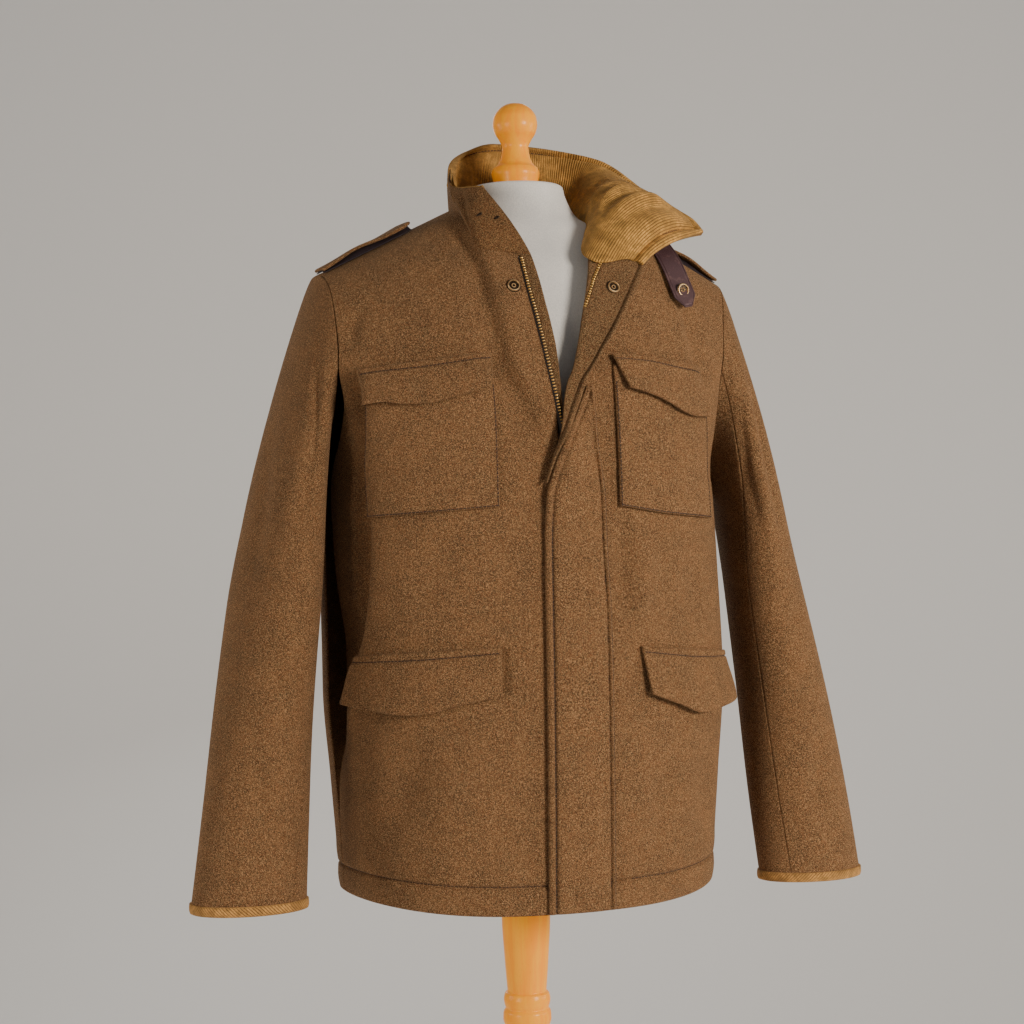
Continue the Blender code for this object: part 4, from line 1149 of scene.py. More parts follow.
@dataclass
class Pockets:
    """Chest patch pockets, their flaps and the hip flaps."""

    body: BodyForm
    wool: "Melange"
    pieces: tuple[LaidPiece, ...] = (
        LaidPiece("chest_patch_right", "chest_pocket_right",
                  ((-79, 1312), (-130, 1307), (-193.5, 1300)),
                  ((-75.3, 1175.1), (-137.3, 1170.2), (-187.6, 1166.3)),
                  0.0004, 0.0014, 0.003, 0.0032),
        LaidPiece("chest_patch_left", "chest_pocket_left",
                  ((43.2, 1312), (95, 1308), (156, 1301)),
                  ((46.8, 1174.5), (95.8, 1167.1), (165.3, 1160.7)),
                  0.0004, 0.0014, 0.003, 0.0032),
        LaidPiece("chest_flap_right_cloth", "chest_flap_right",
                  ((-78.6, 1322.7), (-117.5, 1317.6), (-161.8, 1312.2), (-197.4, 1308.1)),
                  ((-80.4, 1290.9), (-100.9, 1283.9), (-119.4, 1278.3), (-143.5, 1273),
                   (-159, 1273.3), (-174.1, 1276.1), (-195.7, 1273.6)),
                  0.0034, 0.006, 0.0012, 0.004, stitch=0.0065),
        LaidPiece("chest_flap_left_cloth", "chest_flap_left",
                  ((41.5, 1321.5), (76.5, 1320.4), (113.5, 1316.7), (152.4, 1312.4)),
                  ((55.8, 1288.4), (73.9, 1283.8), (88.6, 1279.2), (103.8, 1272.6),
                   (120.5, 1265), (134.4, 1262.4), (155.2, 1263)),
                  0.0034, 0.006, 0.0012, 0.004, stitch=0.0065),
        LaidPiece("hip_flap_right_cloth", "hip_flap_right",
                  ((-74.5, 1041.8), (-121.2, 1039.5), (-163.4, 1036.7), (-199.9, 1032.3)),
                  ((-75.2, 994.8), (-113, 987), (-148.5, 977.6), (-160.7, 977.4),
                   (-186.6, 982.1), (-203.3, 985.8)),
                  0.0006, 0.0062, 0.0016, 0.004, stitch=0.008),
        LaidPiece("hip_flap_left_cloth", "hip_flap_left",
                  ((68.7, 1037.8), (118, 1033.1), (187, 1026.2)),
                  ((76.9, 990.2), (106.5, 979.5), (142, 967.6), (173.1, 972),
                   (198.5, 976)),
                  0.0006, 0.0055, 0.0016, 0.004, stitch=0.008, outer_stand=0.005),
    )

    def build(self) -> None:
        """Build the six pieces."""
        for piece in self.pieces:
            piece.build(self.body, self.wool)


@dataclass
class ShoulderStrap:
    """A shoulder strap with a dark underlay, sewn at the sleeve and free at the neck; the underlay's
    near-black edges, bent down to the shoulder, are painted shade under the strap.
    """

    side: Side
    body: BodyForm
    wool: "Melange"
    under: "Twill"
    inner_x: float = 0.122
    outer_x: float = 0.2115
    width: float = 0.04
    forward: float = 0.008
    lift: float = 0.0024
    free_lift: float = 0.004
    raise_front: float = 0.0046

    def over(self, x: Array, forward: Array, out: Array) -> Array:
        """Points over the shoulder line, x along it and a distance forward of it."""
        top = np.full(x.shape, 2.0)
        behind = blend(self.body.rows, "edge_back", "back", top, 0.5)
        depth = np.where(forward < 0.0, behind, blend(self.body.rows, "edge_front", "front", top, 0.5))
        share = np.minimum(np.abs(forward) / depth, 1.0) ** (1.0 / self.body.dome_power)
        level = np.minimum(1.0 + np.arccos(share) / QUARTER_TURN, 1.995)
        across = self.body.across_of(x, level)
        return np.where((forward < 0.0)[:, None], self.body.point(across, level, out, True),
                        self.body.point(across, level, out))

    def layer(self, name: str, node: str, finish: "Finish", wall: float, drop: float, inset: float) -> None:
        """One layer of the strap.

        Args:
            name: the piece's name.
            node: the CAD node that it stands for.
            finish: its finish.
            wall: thickness.
            drop: how far its underside lies below the wool layer's underside.
            inset: how much smaller it is all round.
        """
        length = (self.outer_x - self.inner_x) * 1.1

        def surface(u: Array, v: Array, out: Array) -> Array:
            pointed = 1.0 - 0.42 * np.clip(1.0 - u / 0.1, 0.0, 1.0)
            half = (self.width / 2.0 - inset) * (1.0 - 0.2 * (1.0 - u)) * pointed
            reach = self.inner_x + inset + (self.outer_x - self.inner_x - inset) * u
            x = self.side.value * (reach + 0.006 * (v - 0.5) * (1.0 - u))
            forward = self.forward + half * (1.0 - 2.0 * v)
            rise = self.lift + self.free_lift * (1.0 - u) ** 2
            rise += self.raise_front * (1.0 - v) ** 1.2 * bell((u - 0.62) / 0.25)
            # the dark underlay's edges bend down to the shoulder, so that they show as painted shade under
            # the strap
            if drop > 0.0:
                down = ease(1.0 - np.minimum(v, 1.0 - v) / 0.22)
                rise = (rise - drop) * (1.0 - down) + 0.0006 * down
            return self.over(x, forward, rise + out)

        cut = Cut(name, length - inset, (self.width - 2.0 * inset) * 0.9, wall, 0.0, 0.0025, 0.0014)
        lay_cloth(cut, surface, finish, [node])

    def build(self) -> None:
        """Build both layers."""
        word = self.side.word
        self.layer("strap_%s_wool" % word, "shoulder_strap_" + word, self.wool, 0.0032, 0.0, 0.0)
        self.layer("strap_%s_under" % word, "strap_underlay_" + word, self.under, 0.0012, 0.0014, 0.0012)


@dataclass
class ThroatTab:
    """The leather throat tab that hangs from under the collar."""

    body: BodyForm
    leather: "Leather"
    wall: float = 0.0026
    lift: float = 0.0016
    stand: float = 0.003
    half: float = 0.0124
    top: Pair = (0.1295, 1.44)
    tip: Pair = (0.1423, 1.3733)
    across: Triple = (0.982, 0.08, 0.175)

    def point(self, u: Array, v: Array, out: Array) -> Array:
        """Points over the tab, which hangs flat: u across and v upwards from its pointed end."""
        half = self.half * (0.3 + 0.7 * np.clip(v / 0.17, 0.0, 1.0))
        x = self.tip[0] + (self.top[0] - self.tip[0]) * v
        z = self.tip[1] + (self.top[1] - self.tip[1]) * v
        y = self.body.front(x - self.half, z, self.lift + self.stand * (1.0 - v))[..., 1]
        facing = np.cross(self.across, (0.0, 0.0, 1.0))
        facing /= np.linalg.norm(facing)
        offset = ((u - 0.5) * 2.0 * half)[..., None] * np.array(self.across)
        return np.stack([x, y, z], axis=-1) + offset + out[..., None] * facing

    def build(self) -> None:
        """Build the tab, with a pressed line inside its edge."""
        width, length = 2.0 * self.half, 0.068

        def surface(u: Array, v: Array, out: Array) -> Array:
            inward = np.minimum(np.minimum(u, 1.0 - u) * width, v * length)
            press = 0.0007 * bell((inward - 0.0024) / 0.0006) * (out > OUTER_FACE)
            return self.point(u, v, out - press)

        cut = Cut("throat_tab_leather", width, length, self.wall, 0.0, 0.0012, 0.0009,
                  u_marks=(0.0024, width - 0.0024), v_marks=(0.0024,), area=0.0015)
        lay_cloth(cut, surface, self.leather, ["throat_tab"])


# ---- sleeves and collar, as pieces ----


@dataclass
class Sleeve:
    """Upper and under sleeve and the corduroy binding of the cuff."""

    form: SleeveForm
    wool: "Melange"
    corduroy: "Corduroy"
    front_seam: float = 0.36
    back_seam: float = 0.72
    binding_width: float = 0.01

    def build(self) -> None:
        """Build the three pieces."""
        word = self.form.side.word
        for name, first, last, area in (("upper", self.back_seam - 1.0, self.front_seam, 0.116),
                                        ("under", self.front_seam, self.back_seam, 0.059)):
            def surface(u: Array, v: Array, out: Array, first: float = first, last: float = last) -> Array:
                return self.form.point(first + (last - first) * u, v, out)

            cut = Cut("sleeve_%s_%s_cloth" % (word, name), (last - first) * self.form.around,
                      self.form.down, area=area)
            lay_cloth(cut, surface, self.wool, ["sleeve_%s_%s" % (word, name)])
        self.binding(word)

    def binding(self, word: str) -> None:
        """The bias binding: a rounded band that wraps the cuff's edge, closed all round."""
        round_steps = 120
        band = ((-0.0024, 0.98), (0.001, 1.0), (0.0018, 0.94), (0.0021, 0.6), (0.002, 0.28),
                (0.0013, 0.06), (-0.0006, 0.0), (-0.003, 0.06), (-0.004, 0.28), (-0.0038, 0.9))
        mesh = bmesh.new()
        bmesh.ops.create_grid(mesh, x_segments=round_steps, y_segments=len(band), size=0.5)
        verts = mesh.verts[:]
        column, row = on_grid(verts, round_steps, len(band))
        ring = np.mod(column / round_steps, 1.0)
        profile = np.array(band)[row % len(band)]
        places = self.form.point(ring, np.ones(ring.shape), profile[:, 0])
        places[:, 2] -= 0.0085 - profile[:, 1] * self.binding_width
        move_to(mesh, verts, places, (column / round_steps * 0.3, row / len(band) * 0.03))
        bmesh.ops.remove_doubles(mesh, verts=verts, dist=0.00001)
        piece = settle(add_piece("cuff_binding_%s_cord" % word, mesh), self.corduroy,
                       ["cuff_binding_" + word])


@dataclass
class Collar:
    """The collar's wool outside and its corduroy facing, with a rolled, stitched edge."""

    form: CollarForm
    wool: "Melange"
    corduroy: "Corduroy"
    wool_wall: float = 0.0028
    facing_wall: float = 0.003
    roll: float = 0.004
    welt: float = 0.007

    def build(self) -> None:
        """Build both layers."""
        long, tall = self.form.long, self.form.tall
        inset_u, inset_v = self.roll * 0.6 / long, self.roll * 0.6 / tall

        def outside(u: Array, v: Array, out: Array) -> Array:
            start = -0.12 * ease((u - 0.28) / 0.08) * (1.0 - ease((u - 0.74) / 0.08))
            height = start + (1.0 - inset_v - start) * v
            return self.form.point((1.0 - inset_u) * u, height, out)

        cut = Cut("collar_wool_painted_shade", long, tall, self.wool_wall, -self.wool_wall, 0.0035, 0.0014, area=0.045)
        lay_cloth(cut, outside, self.wool, ["collar_outer"])

        def inside(u: Array, v: Array, out: Array) -> Array:
            inward = np.minimum(np.minimum(u, 1.0 - u) * long, (1.0 - v) * tall)
            toward = out > -0.5 * self.facing_wall
            rolled = self.roll * 0.65 * ease((self.roll - inward) / (0.5 * self.roll)) * toward
            seam = 0.0036 * bell((inward - self.welt) / 0.0013)
            fat = 0.0024 * bell((inward - 0.45 * self.welt) / (0.35 * self.welt))
            under = (seam - fat) * (~toward)
            start = 0.06 * (1.0 - ease((u - 0.1) / 0.05))
            start = start - 0.12 * ease((u - 0.66) / 0.06) * (1.0 - ease((u - 0.94) / 0.05))
            rolled = rolled * ease((u - 0.012) / 0.01)
            return self.form.point(0.006 + 0.994 * u, start + (1.0 - start) * v,
                                   out - self.wool_wall - 0.0002 + rolled + under)

        cut = Cut("collar_corduroy", long, tall, self.facing_wall, -self.facing_wall, 0.003, 0.002,
                  u_marks=(self.welt, long - self.welt), v_marks=(tall - self.welt,), area=0.046)
        lay_cloth(cut, inside, self.corduroy, ["collar_facing"])


@dataclass
class Stitching:
    """Rows of stitches, each row a line of short dark threads sunk in its groove; their dark colour also
    stands as painted shade along the seams and edges.
    """

    body: BodyForm
    thread: "Tape"
    pitch: float = 0.0038
    size: Triple = (0.0029, 0.001, 0.0008)

    def rows(self, name: str, lines: Sequence[tuple[Sequence[Pair], Surface, float]]) -> None:
        """Joined stitches of several rows.

        Args:
            name: the piece's name.
            lines: for each row its path, the surface that the path is on and its distance out.
        """
        mesh = bmesh.new()
        for path, over, out in lines:
            add_bars(mesh, spaced(path, over, out, self.pitch), self.size)
        settle(add_piece(name, mesh, 40.0), self.thread)

    def hem(self, panels: Panels) -> None:
        """The row above the hem, round the fronts and the back."""
        level = panels.hem_deep / panels.level_rise
        lines = []
        for back, first, last in ((False, -0.985, -0.02), (False, 0.16, 0.985), (True, -0.985, 0.985)):
            def over(across: Array, level: Array, out: Array, back: bool = back) -> Array:
                return self.body.point(across, level, out - panels.groove, back)

            lines.append((((first, level), ((first + last) / 2.0, level), (last, level)), over, 0.0001))
        self.rows("hem_stitches", lines)

    def fly(self, fly: Fly) -> None:
        """The edge row and the double row of the fly, and the row of its turned-back end."""
        def over(x: Array, z: Array, out: Array) -> Array:
            return self.body.front(x, z, fly.lift_at(x, z) + out)

        heights = np.linspace(0.785, 1.27, 24)
        free = fly.rows.at("free", heights) + fly.edge_stitch
        lines = [(tuple(zip(free, heights)), over, fly.wall - 0.0029)]
        for row, out in zip(fly.double, (0.0016, 0.0019)):
            place = fly.rows.at("stitched", heights) - row
            lines.append((tuple(zip(place, heights)), self.body.front, out))
        u = 1.0 - fly.edge_stitch / 0.057
        turned = ((u, 0.1), (u, 0.4), (u, 0.7), (u, 1.0))
        lines.append((turned, fly.facing_point, fly.wall - 0.0028))
        self.rows("fly_stitches", lines)

    def pockets(self, pockets: Pockets) -> None:
        """A row below each flap's top edge, and one just inside each patch's three sewn edges."""
        lines = []
        for piece in pockets.pieces:
            over = piece.surface(self.body)
            width, length, _ = piece.sizes(self.body)
            if piece.stitch is not None:
                v = 1.0 - piece.stitch / length
                lines.append((((0.02, v), (0.5, v), (0.98, v)), over, piece.wall))
                continue
            a, b = 0.0016 / width, 0.0016 / length
            for path in (((a, 0.88), (a, 0.5), (a, b)), ((a, b), (0.5, b), (1.0 - a, b)),
                         ((1.0 - a, b), (1.0 - a, 0.5), (1.0 - a, 0.88))):
                lines.append((path, over, piece.wall))
        self.rows("pocket_stitches", lines)

    def collar(self, collar: Collar) -> None:
        """The row inside the collar's rolled edge, on the corduroy."""
        form = collar.form
        u, v = collar.welt / form.long, 1.0 - collar.welt / form.tall
        path = ((u, v), (0.35, v), (0.65, v), (1.0 - u, v))
        self.rows("collar_stitches", [(path, form.point, 0.003 - collar.wool_wall - collar.facing_wall)])


# ---- dress form and stand ----


@dataclass
class DressForm:
    """The padded, jersey-covered torso and neck, an oval section on a table of heights."""

    jersey: "Jersey"
    body: BodyForm
    sides: int = 112
    clear: float = 0.0046
    rows: SmoothTable = field(default_factory=lambda: SmoothTable(
        "z half front back", (
            (0.865, 0.15, 0.108, 0.095), (0.93, 0.164, 0.122, 0.107), (1.0, 0.166, 0.122, 0.107),
            (1.08, 0.158, 0.117, 0.096), (1.2, 0.172, 0.13, 0.106), (1.3, 0.18, 0.13, 0.106),
            (1.36, 0.182, 0.12, 0.098), (1.4, 0.182, 0.104, 0.086), (1.42, 0.18, 0.093, 0.072),
            (1.44, 0.148, 0.08, 0.057), (1.455, 0.108, 0.071, 0.044), (1.47, 0.064, 0.062, 0.031),
            (1.482, 0.055, 0.057, 0.034), (1.495, 0.049, 0.054, 0.036), (1.5015, 0.0475, 0.0525, 0.0368),
            (1.5034, 0.0455, 0.0505, 0.035), (1.504, 0.042, 0.047, 0.0315))))

    def point(self, ring: Array, z: Array) -> Array:
        """Points of the form's face at places round it and heights."""
        angle = ring * math.tau
        slope = self.body.neck_x + (self.body.neck_z - self.clear - z) / self.body.shoulder_slope
        half = self.rows.at("half", z)
        half = np.where(z < self.body.neck_z - self.clear, np.minimum(half, slope), half)
        deep = np.where(np.sin(angle) < 0.0, self.rows.at("front", z), self.rows.at("back", z))
        power = 2.0 / (2.0 + 0.3 * np.clip((1.47 - z) / 0.1, 0.0, 1.0))
        x = np.copysign(half * np.abs(np.cos(angle)) ** power, np.cos(angle))
        y = np.copysign(deep * np.abs(np.sin(angle)) ** power, np.sin(angle))
        return np.stack([x, y, z], axis=-1)

    def build(self) -> None:
        """Build the form, closed at both ends."""
        heights = np.concatenate([np.linspace(0.865, 1.39, 40)[:-1], np.linspace(1.39, 1.472, 34)[:-1],
                                  np.linspace(1.472, 1.5015, 30)[:-1], np.linspace(1.5015, 1.504, 9)])
        mesh = bmesh.new()
        bmesh.ops.create_grid(mesh, x_segments=self.sides, y_segments=len(heights) - 1, size=0.5)
        verts = mesh.verts[:]
        column, row = on_grid(verts, self.sides, len(heights) - 1)
        move_to(mesh, verts, self.point(np.mod(column / self.sides, 1.0), heights[row]))
        bmesh.ops.remove_doubles(mesh, verts=verts, dist=0.00002)
        rims = [edge for edge in mesh.edges if len(edge.link_faces) == 1]
        bmesh.ops.holes_fill(mesh, edges=rims, sides=0)
        settle(add_piece("form_padded_torso", mesh, 55.0), self.jersey, ["form_torso"])


@dataclass
class Turning:
    """A turned wooden piece.

    Attributes:
        name: the piece's name.
        node: the CAD node that it stands for.
        profile: heights and radii in millimetres, from the axis round to the axis.
    """

    name: str
    node: str
    profile: Path

    def build(self, wood: "Beech", steps: int = 72, fine: int = 6) -> None:
        """Turn the piece.

        Args:
            wood: its finish.
            steps: faces round it.
            fine: steps of the smooth profile between two rows.
        """
        table, last = smooth_path(self.profile), len(self.profile) - 1
        places = np.linspace(0.0, last, fine * last + 1)
        mesh = bmesh.new()
        add_turned(mesh, list(zip(table.at("b", places), table.at("a", places))), steps)
        bmesh.ops.remove_doubles(mesh, verts=mesh.verts[:], dist=0.00003)
        settle(add_piece(self.name, mesh, 48.0), wood, [self.node])


@dataclass
class Stand:
    """The knob, the pole with its beads, and the round base."""

    beech: "Beech"
    pieces: tuple[Turning, ...] = (
        Turning("turned_knob", "form_knob", (
            (1591, 0), (1589.5, 8.5), (1583.5, 17.5), (1575.5, 22.2), (1568, 23), (1560, 21.2),
            (1552.5, 16.5), (1545, 13.6), (1537, 14.6), (1528, 18.2), (1523, 23.2), (1518, 24.6),
            (1512, 23.6), (1504.4, 21.5), (1504.4, 0))),
        Turning("turned_pole", "stand_pole", (
            (864.6, 0), (864.6, 25.5), (754, 25), (720, 23.2), (690, 21.1), (678, 20.1), (675.5, 22.6),
            (669, 24), (662.5, 22.8), (660.5, 22.2), (656, 24.4), (649, 24.8), (643, 23), (641, 20.5),
            (560, 21.5), (360, 25), (160, 23), (110, 21), (100, 26), (92, 27.5), (84, 26), (60.3, 29),
            (60.3, 0))),
        Turning("turned_base", "stand_base", (
            (60, 0), (60, 40), (54, 44), (42, 52), (32, 90), (26, 160), (22, 186), (16, 193), (6, 193),
            (0, 189), (0, 0))),
    )

    def build(self) -> None:
        """Turn the three pieces."""
        for piece in self.pieces:
            piece.build(self.beech)


# ---- finishes ----


def tone(colour: Triple, factor: float = 1.0) -> tuple[float, ...]:
    """A colour times a factor, as a colour socket takes it."""
    return (*(min(value * factor, 1.0) for value in colour), 1.0)


@dataclass
class NodeBench:
    """Short ways to add and join shader nodes in one tree."""

    tree: bpy.types.NodeTree

    def set(self, node: Node, inputs: dict[str | int, object]) -> Node:
        """Join sockets to a node's inputs and give others their values.

        Args:
            node: the node.
            inputs: a socket or a value for each of the inputs, by name or number.

        Returns:
            The node.
        """
        for name, value in inputs.items():
            if isinstance(value, Socket):
                self.tree.links.new(value, node.inputs[name])
            else:
                node.inputs[name].default_value = value
        return node

    def add(self, kind: str, inputs: dict[str | int, object] | None = None, **settings: object) -> Node:
        """Add a node.

        Args:
            kind: the node's type, without ShaderNode.
            inputs: values or sockets for its inputs.
            settings: its own settings.

        Returns:
            The node.
        """
        node = self.tree.nodes.new("ShaderNode" + kind)
        for name, value in settings.items():
            setattr(node, name, value)
        return self.set(node, inputs or {})

    def math(self, kind: str, first: object, second: object = 0.0) -> Socket:
        """The result of a Math node."""
        return self.add("Math", {0: first, 1: second}, operation=kind).outputs[0]

    def times(self, first: object, second: object) -> Socket:
        """The product of two values."""
        return self.math("MULTIPLY", first, second)

    def weigh(self, first: object, part: float, second: object, rest: float) -> Socket:
        """The sum of two values, each times its own weight."""
        return self.math("ADD", self.times(first, part), self.times(second, rest))

    def mix(self, factor: object, first: object, second: object) -> Socket:
        """The colour of a Mix node."""
        return self.add("Mix", {0: factor, 6: first, 7: second}, data_type="RGBA").outputs[2]

    def shades(self, factor: object, colour: Triple, low: float, high: float) -> Socket:
        """A colour that runs from a darker shade of itself to a paler one."""
        return self.mix(factor, tone(colour, low), tone(colour, high))

    def lay(self, colour: object, mask: object, share: float, over: tuple[float, ...]) -> Socket:
        """A colour with another laid over it through a share of a mask."""
        return self.mix(self.times(mask, share), colour, over)

    def span(self, value: object, low: float, high: float, start: float = 0.0, end: float = 1.0) -> Socket:
        """A value mapped from one span to another, smoothly and within it."""
        return self.add("MapRange", {0: value, 1: low, 2: high, 3: start, 4: end},
                        interpolation_type="SMOOTHSTEP").outputs[0]

    def moved(self, vector: object, **inputs: Triple) -> Socket:
        """A vector through a Mapping node."""
        return self.add("Mapping", {"Vector": vector, **inputs}).outputs[0]

    def noise(self, vector: object, scale: float, detail: float = 2.0, rough: float = 0.5,
              distort: float = 0.0) -> Socket:
        """A noise's value."""
        return self.add("TexNoise", {"Vector": vector, "Scale": scale, "Detail": detail,
                                     "Roughness": rough, "Distortion": distort}).outputs["Fac"]


def shared_group(name: str, vectors: Sequence[str], values: Sequence[str],
                 build: Callable[[NodeBench, Node], dict[str, Socket]]) -> bpy.types.NodeTree:
    """A shader node group that is built once.

    Args:
        name: the group's name.
        vectors: names of its inputs.
        values: names of its outputs.
        build: gives the outputs' sockets, from a bench and the input node.

    Returns:
        The group.
    """
    if name in bpy.data.node_groups:
        return bpy.data.node_groups[name]
    tree = bpy.data.node_groups.new(name, "ShaderNodeTree")
    for label in vectors:
        tree.interface.new_socket(label, in_out="INPUT", socket_type="NodeSocketVector")
    for label in values:
        tree.interface.new_socket(label, in_out="OUTPUT", socket_type="NodeSocketFloat")
    bench, given = NodeBench(tree), tree.nodes.new("NodeGroupInput")
    bench.set(tree.nodes.new("NodeGroupOutput"), build(bench, given))
    return tree


def curly_fibres() -> bpy.types.NodeTree:
    """Short curly fibres of a melange: masks of pale, dark and fine ones, and their height."""
    def build(bench: NodeBench, given: Node) -> dict[str, Socket]:
        vector = given.outputs["Vector"]
        made: dict[str, Socket] = {}
        for label, offset, scale, thin in (("Pale", 0.0, 1250.0, 0.07), ("Dark", 7.3, 1150.0, 0.084),
                                           ("Fine", 3.1, 1800.0, 0.11)):
            moved = bench.moved(vector, Location=(offset, offset, -offset))
            curl = bench.noise(moved, scale, 1.0, 0.5, 0.55)
            strand = bench.span(bench.math("ABSOLUTE", bench.math("SUBTRACT", curl, 0.5)), thin, 0.004)
            broken = bench.span(bench.noise(moved, scale * 0.7, 1.0), 0.47, 0.57)
            made[label] = bench.times(strand, broken)
        cloud = bench.times(bench.noise(vector, 650.0, 3.0, 0.6), 0.6)
        made["Height"] = bench.math("ADD", bench.weigh(made["Pale"], 0.7, made["Fine"], 0.4), cloud)
        return made

    return shared_group("curly_fibres", ["Vector"], ["Pale", "Dark", "Fine", "Height"], build)


def wale_ridges() -> bpy.types.NodeTree:
    """Round pile ridges across the first coordinate of a vector scaled to one wale, with a mask of the
    furrows between them for painted shade.
    """
    def build(bench: NodeBench, given: Node) -> dict[str, Socket]:
        along = bench.add("SeparateXYZ", {0: given.outputs["Vector"]}).outputs[0]
        place = given.outputs["Object"]
        shifted = bench.math("ADD", along, bench.times(bench.noise(place, 90.0), 0.35))
        swing = bench.math("ABSOLUTE", bench.math("SINE", bench.times(shifted, math.pi)))
        tuft = bench.noise(place, 1500.0, 2.0, 0.6)
        return {"Height": bench.math("ADD", bench.math("POWER", swing, 0.65), bench.times(tuft, 0.3)),
                "Furrow": bench.span(swing, 0.6, 0.06),
                "Nap": bench.weigh(tuft, 0.5, bench.noise(place, 160.0, 3.0, 0.6), 0.5)}

    return shared_group("wale_ridges", ["Vector", "Object"], ["Height", "Furrow", "Nap"], build)


@dataclass(frozen=True)
class Finish:
    """A finish: a material that is built once, and the record's slot that it belongs to."""

    name: str
    slot: str
    roughness: float
    metallic: float = 0.0

    def material(self) -> bpy.types.Material:
        """The finish's material."""
        if self.name in bpy.data.materials:
            return bpy.data.materials[self.name]
        made = bpy.data.materials.new(self.name)
        made.use_nodes = True
        bench = NodeBench(made.node_tree)
        shader = made.node_tree.nodes["Principled BSDF"]
        bench.set(shader, {"Roughness": self.roughness, "Metallic": self.metallic})
        self.dress(bench, shader)
        return made

    def dress(self, bench: NodeBench, shader: Node) -> None:
        """Add the finish's own nodes."""
        raise NotImplementedError

    def feel(self, bench: NodeBench, shader: Node, height: Socket, distance: float,
             strength: float = 1.0) -> None:
        """Join a height to the shader through a Bump node."""
        bump = bench.add("Bump", {"Height": height, "Distance": distance, "Strength": strength})
        bench.set(shader, {"Normal": bump.outputs["Normal"]})


@dataclass(frozen=True)
class Melange(Finish):
    """Boiled melange wool: brown ground with short curly pale and dark fibres and a soft nap."""

    ground: Triple = (0.142, 0.06, 0.021)
    pale: Triple = (0.69, 0.4, 0.185)
    dark: Triple = (0.022, 0.009, 0.004)
    rust: Triple = (0.215, 0.068, 0.022)
    moss: Triple = (0.105, 0.076, 0.036)

    def dress(self, bench: NodeBench, shader: Node) -> None:
        """Mix the fibres over a slightly cloudy ground."""
        place = bench.add("TexCoord").outputs["Object"]
        fibres = bench.add("Group", {"Vector": place}, node_tree=curly_fibres()).outputs
        cloud = bench.span(bench.noise(place, 38.0, 6.0, 0.75), 0.34, 0.66)
        tuft = bench.noise(place, 560.0, 3.0, 0.65)
        speck = bench.span(bench.noise(place, 1300.0, 4.0, 0.7), 0.43, 0.58)
        colour = bench.shades(cloud, self.ground, 0.6, 1.34)
        colour = bench.mix(bench.span(tuft, 0.52, 0.62, 0.0, 0.6), colour, tone(self.rust))
        colour = bench.mix(bench.span(tuft, 0.48, 0.38, 0.0, 0.6), colour, tone(self.moss))
        for mask, share, over in ((speck, 0.7, self.dark), (fibres["Dark"], 0.8, self.dark),
                                  (fibres["Fine"], 0.44, self.pale), (fibres["Pale"], 0.9, self.pale)):
            colour = bench.lay(colour, mask, share, tone(over))
        bench.set(shader, {"Base Color": colour, "Sheen Weight": 0.14, "Sheen Roughness": 0.45,
                           "Sheen Tint": (0.95, 0.66, 0.38, 1.0), "Specular IOR Level": 0.15})
        self.feel(bench, shader, fibres["Height"], 0.0005, 0.9)


@dataclass(frozen=True)
class Corduroy(Finish):
    """Corduroy with wales across the piece, or on the bias."""

    pitch: float = 0.0017
    turn: float = 0.0
    ridge: Triple = (0.54, 0.275, 0.066)
    furrow: Triple = (0.08, 0.036, 0.009)

    def dress(self, bench: NodeBench, shader: Node) -> None:
        """Pale, napped ridges and furrows darkened with painted shade, on the piece's own cut."""
        given = bench.add("TexCoord").outputs
        turned = bench.add("VectorRotate", {"Vector": given["UV"], "Angle": self.turn},
                           rotation_type="Z_AXIS").outputs[0]
        scaled = bench.moved(turned, Scale=(1.0 / self.pitch, 1.0 / self.pitch, 1.0))
        wales = bench.add("Group", {"Vector": scaled, "Object": given["Object"]},
                          node_tree=wale_ridges()).outputs
        brushed = bench.span(bench.noise(given["Object"], 38.0, 2.0, 0.5, 0.6), 0.42, 0.6)
        colour = bench.shades(bench.span(wales["Nap"], 0.4, 0.6), self.ridge, 0.6, 1.25)
        colour = bench.lay(colour, brushed, 0.5, tone(self.ridge, 0.4))
        # the furrows between the wales are darkened towards the furrow colour: painted shade
        colour = bench.lay(colour, wales["Furrow"], 0.85, tone(self.furrow))
        bench.set(shader, {"Base Color": colour, "Sheen Weight": 0.3, "Sheen Roughness": 0.3,
                           "Sheen Tint": (1.0, 0.62, 0.24, 1.0), "Specular IOR Level": 0.2})
        self.feel(bench, shader, wales["Height"], 0.001)


@dataclass(frozen=True)
class Leather(Finish):
    """Plum-brown leather with a fine grain and rubbed high spots."""

    hide: Triple = (0.08, 0.034, 0.038)
    rubbed: Triple = (0.185, 0.095, 0.085)

    def dress(self, bench: NodeBench, shader: Node) -> None:
        """Pebbled cells, soft wear and a slight gloss."""
        place = bench.add("TexCoord").outputs["Object"]
        cells = bench.add("TexVoronoi", {"Vector": place, "Scale": 1500.0}, feature="DISTANCE_TO_EDGE")
        pebble = bench.span(cells.outputs["Distance"], 0.0, 0.25)
        wear = bench.span(bench.noise(place, 120.0, 4.0, 0.6), 0.48, 0.68)
        colour = bench.lay(tone(self.hide), wear, 0.6, tone(self.rubbed))
        colour = bench.lay(colour, bench.math("SUBTRACT", 1.0, pebble), 0.4, tone(self.hide, 0.4))
        gloss = bench.span(wear, 0.0, 1.0, self.roughness, self.roughness - 0.12)
        bench.set(shader, {"Base Color": colour, "Roughness": gloss})
        self.feel(bench, shader, pebble, 0.00012)


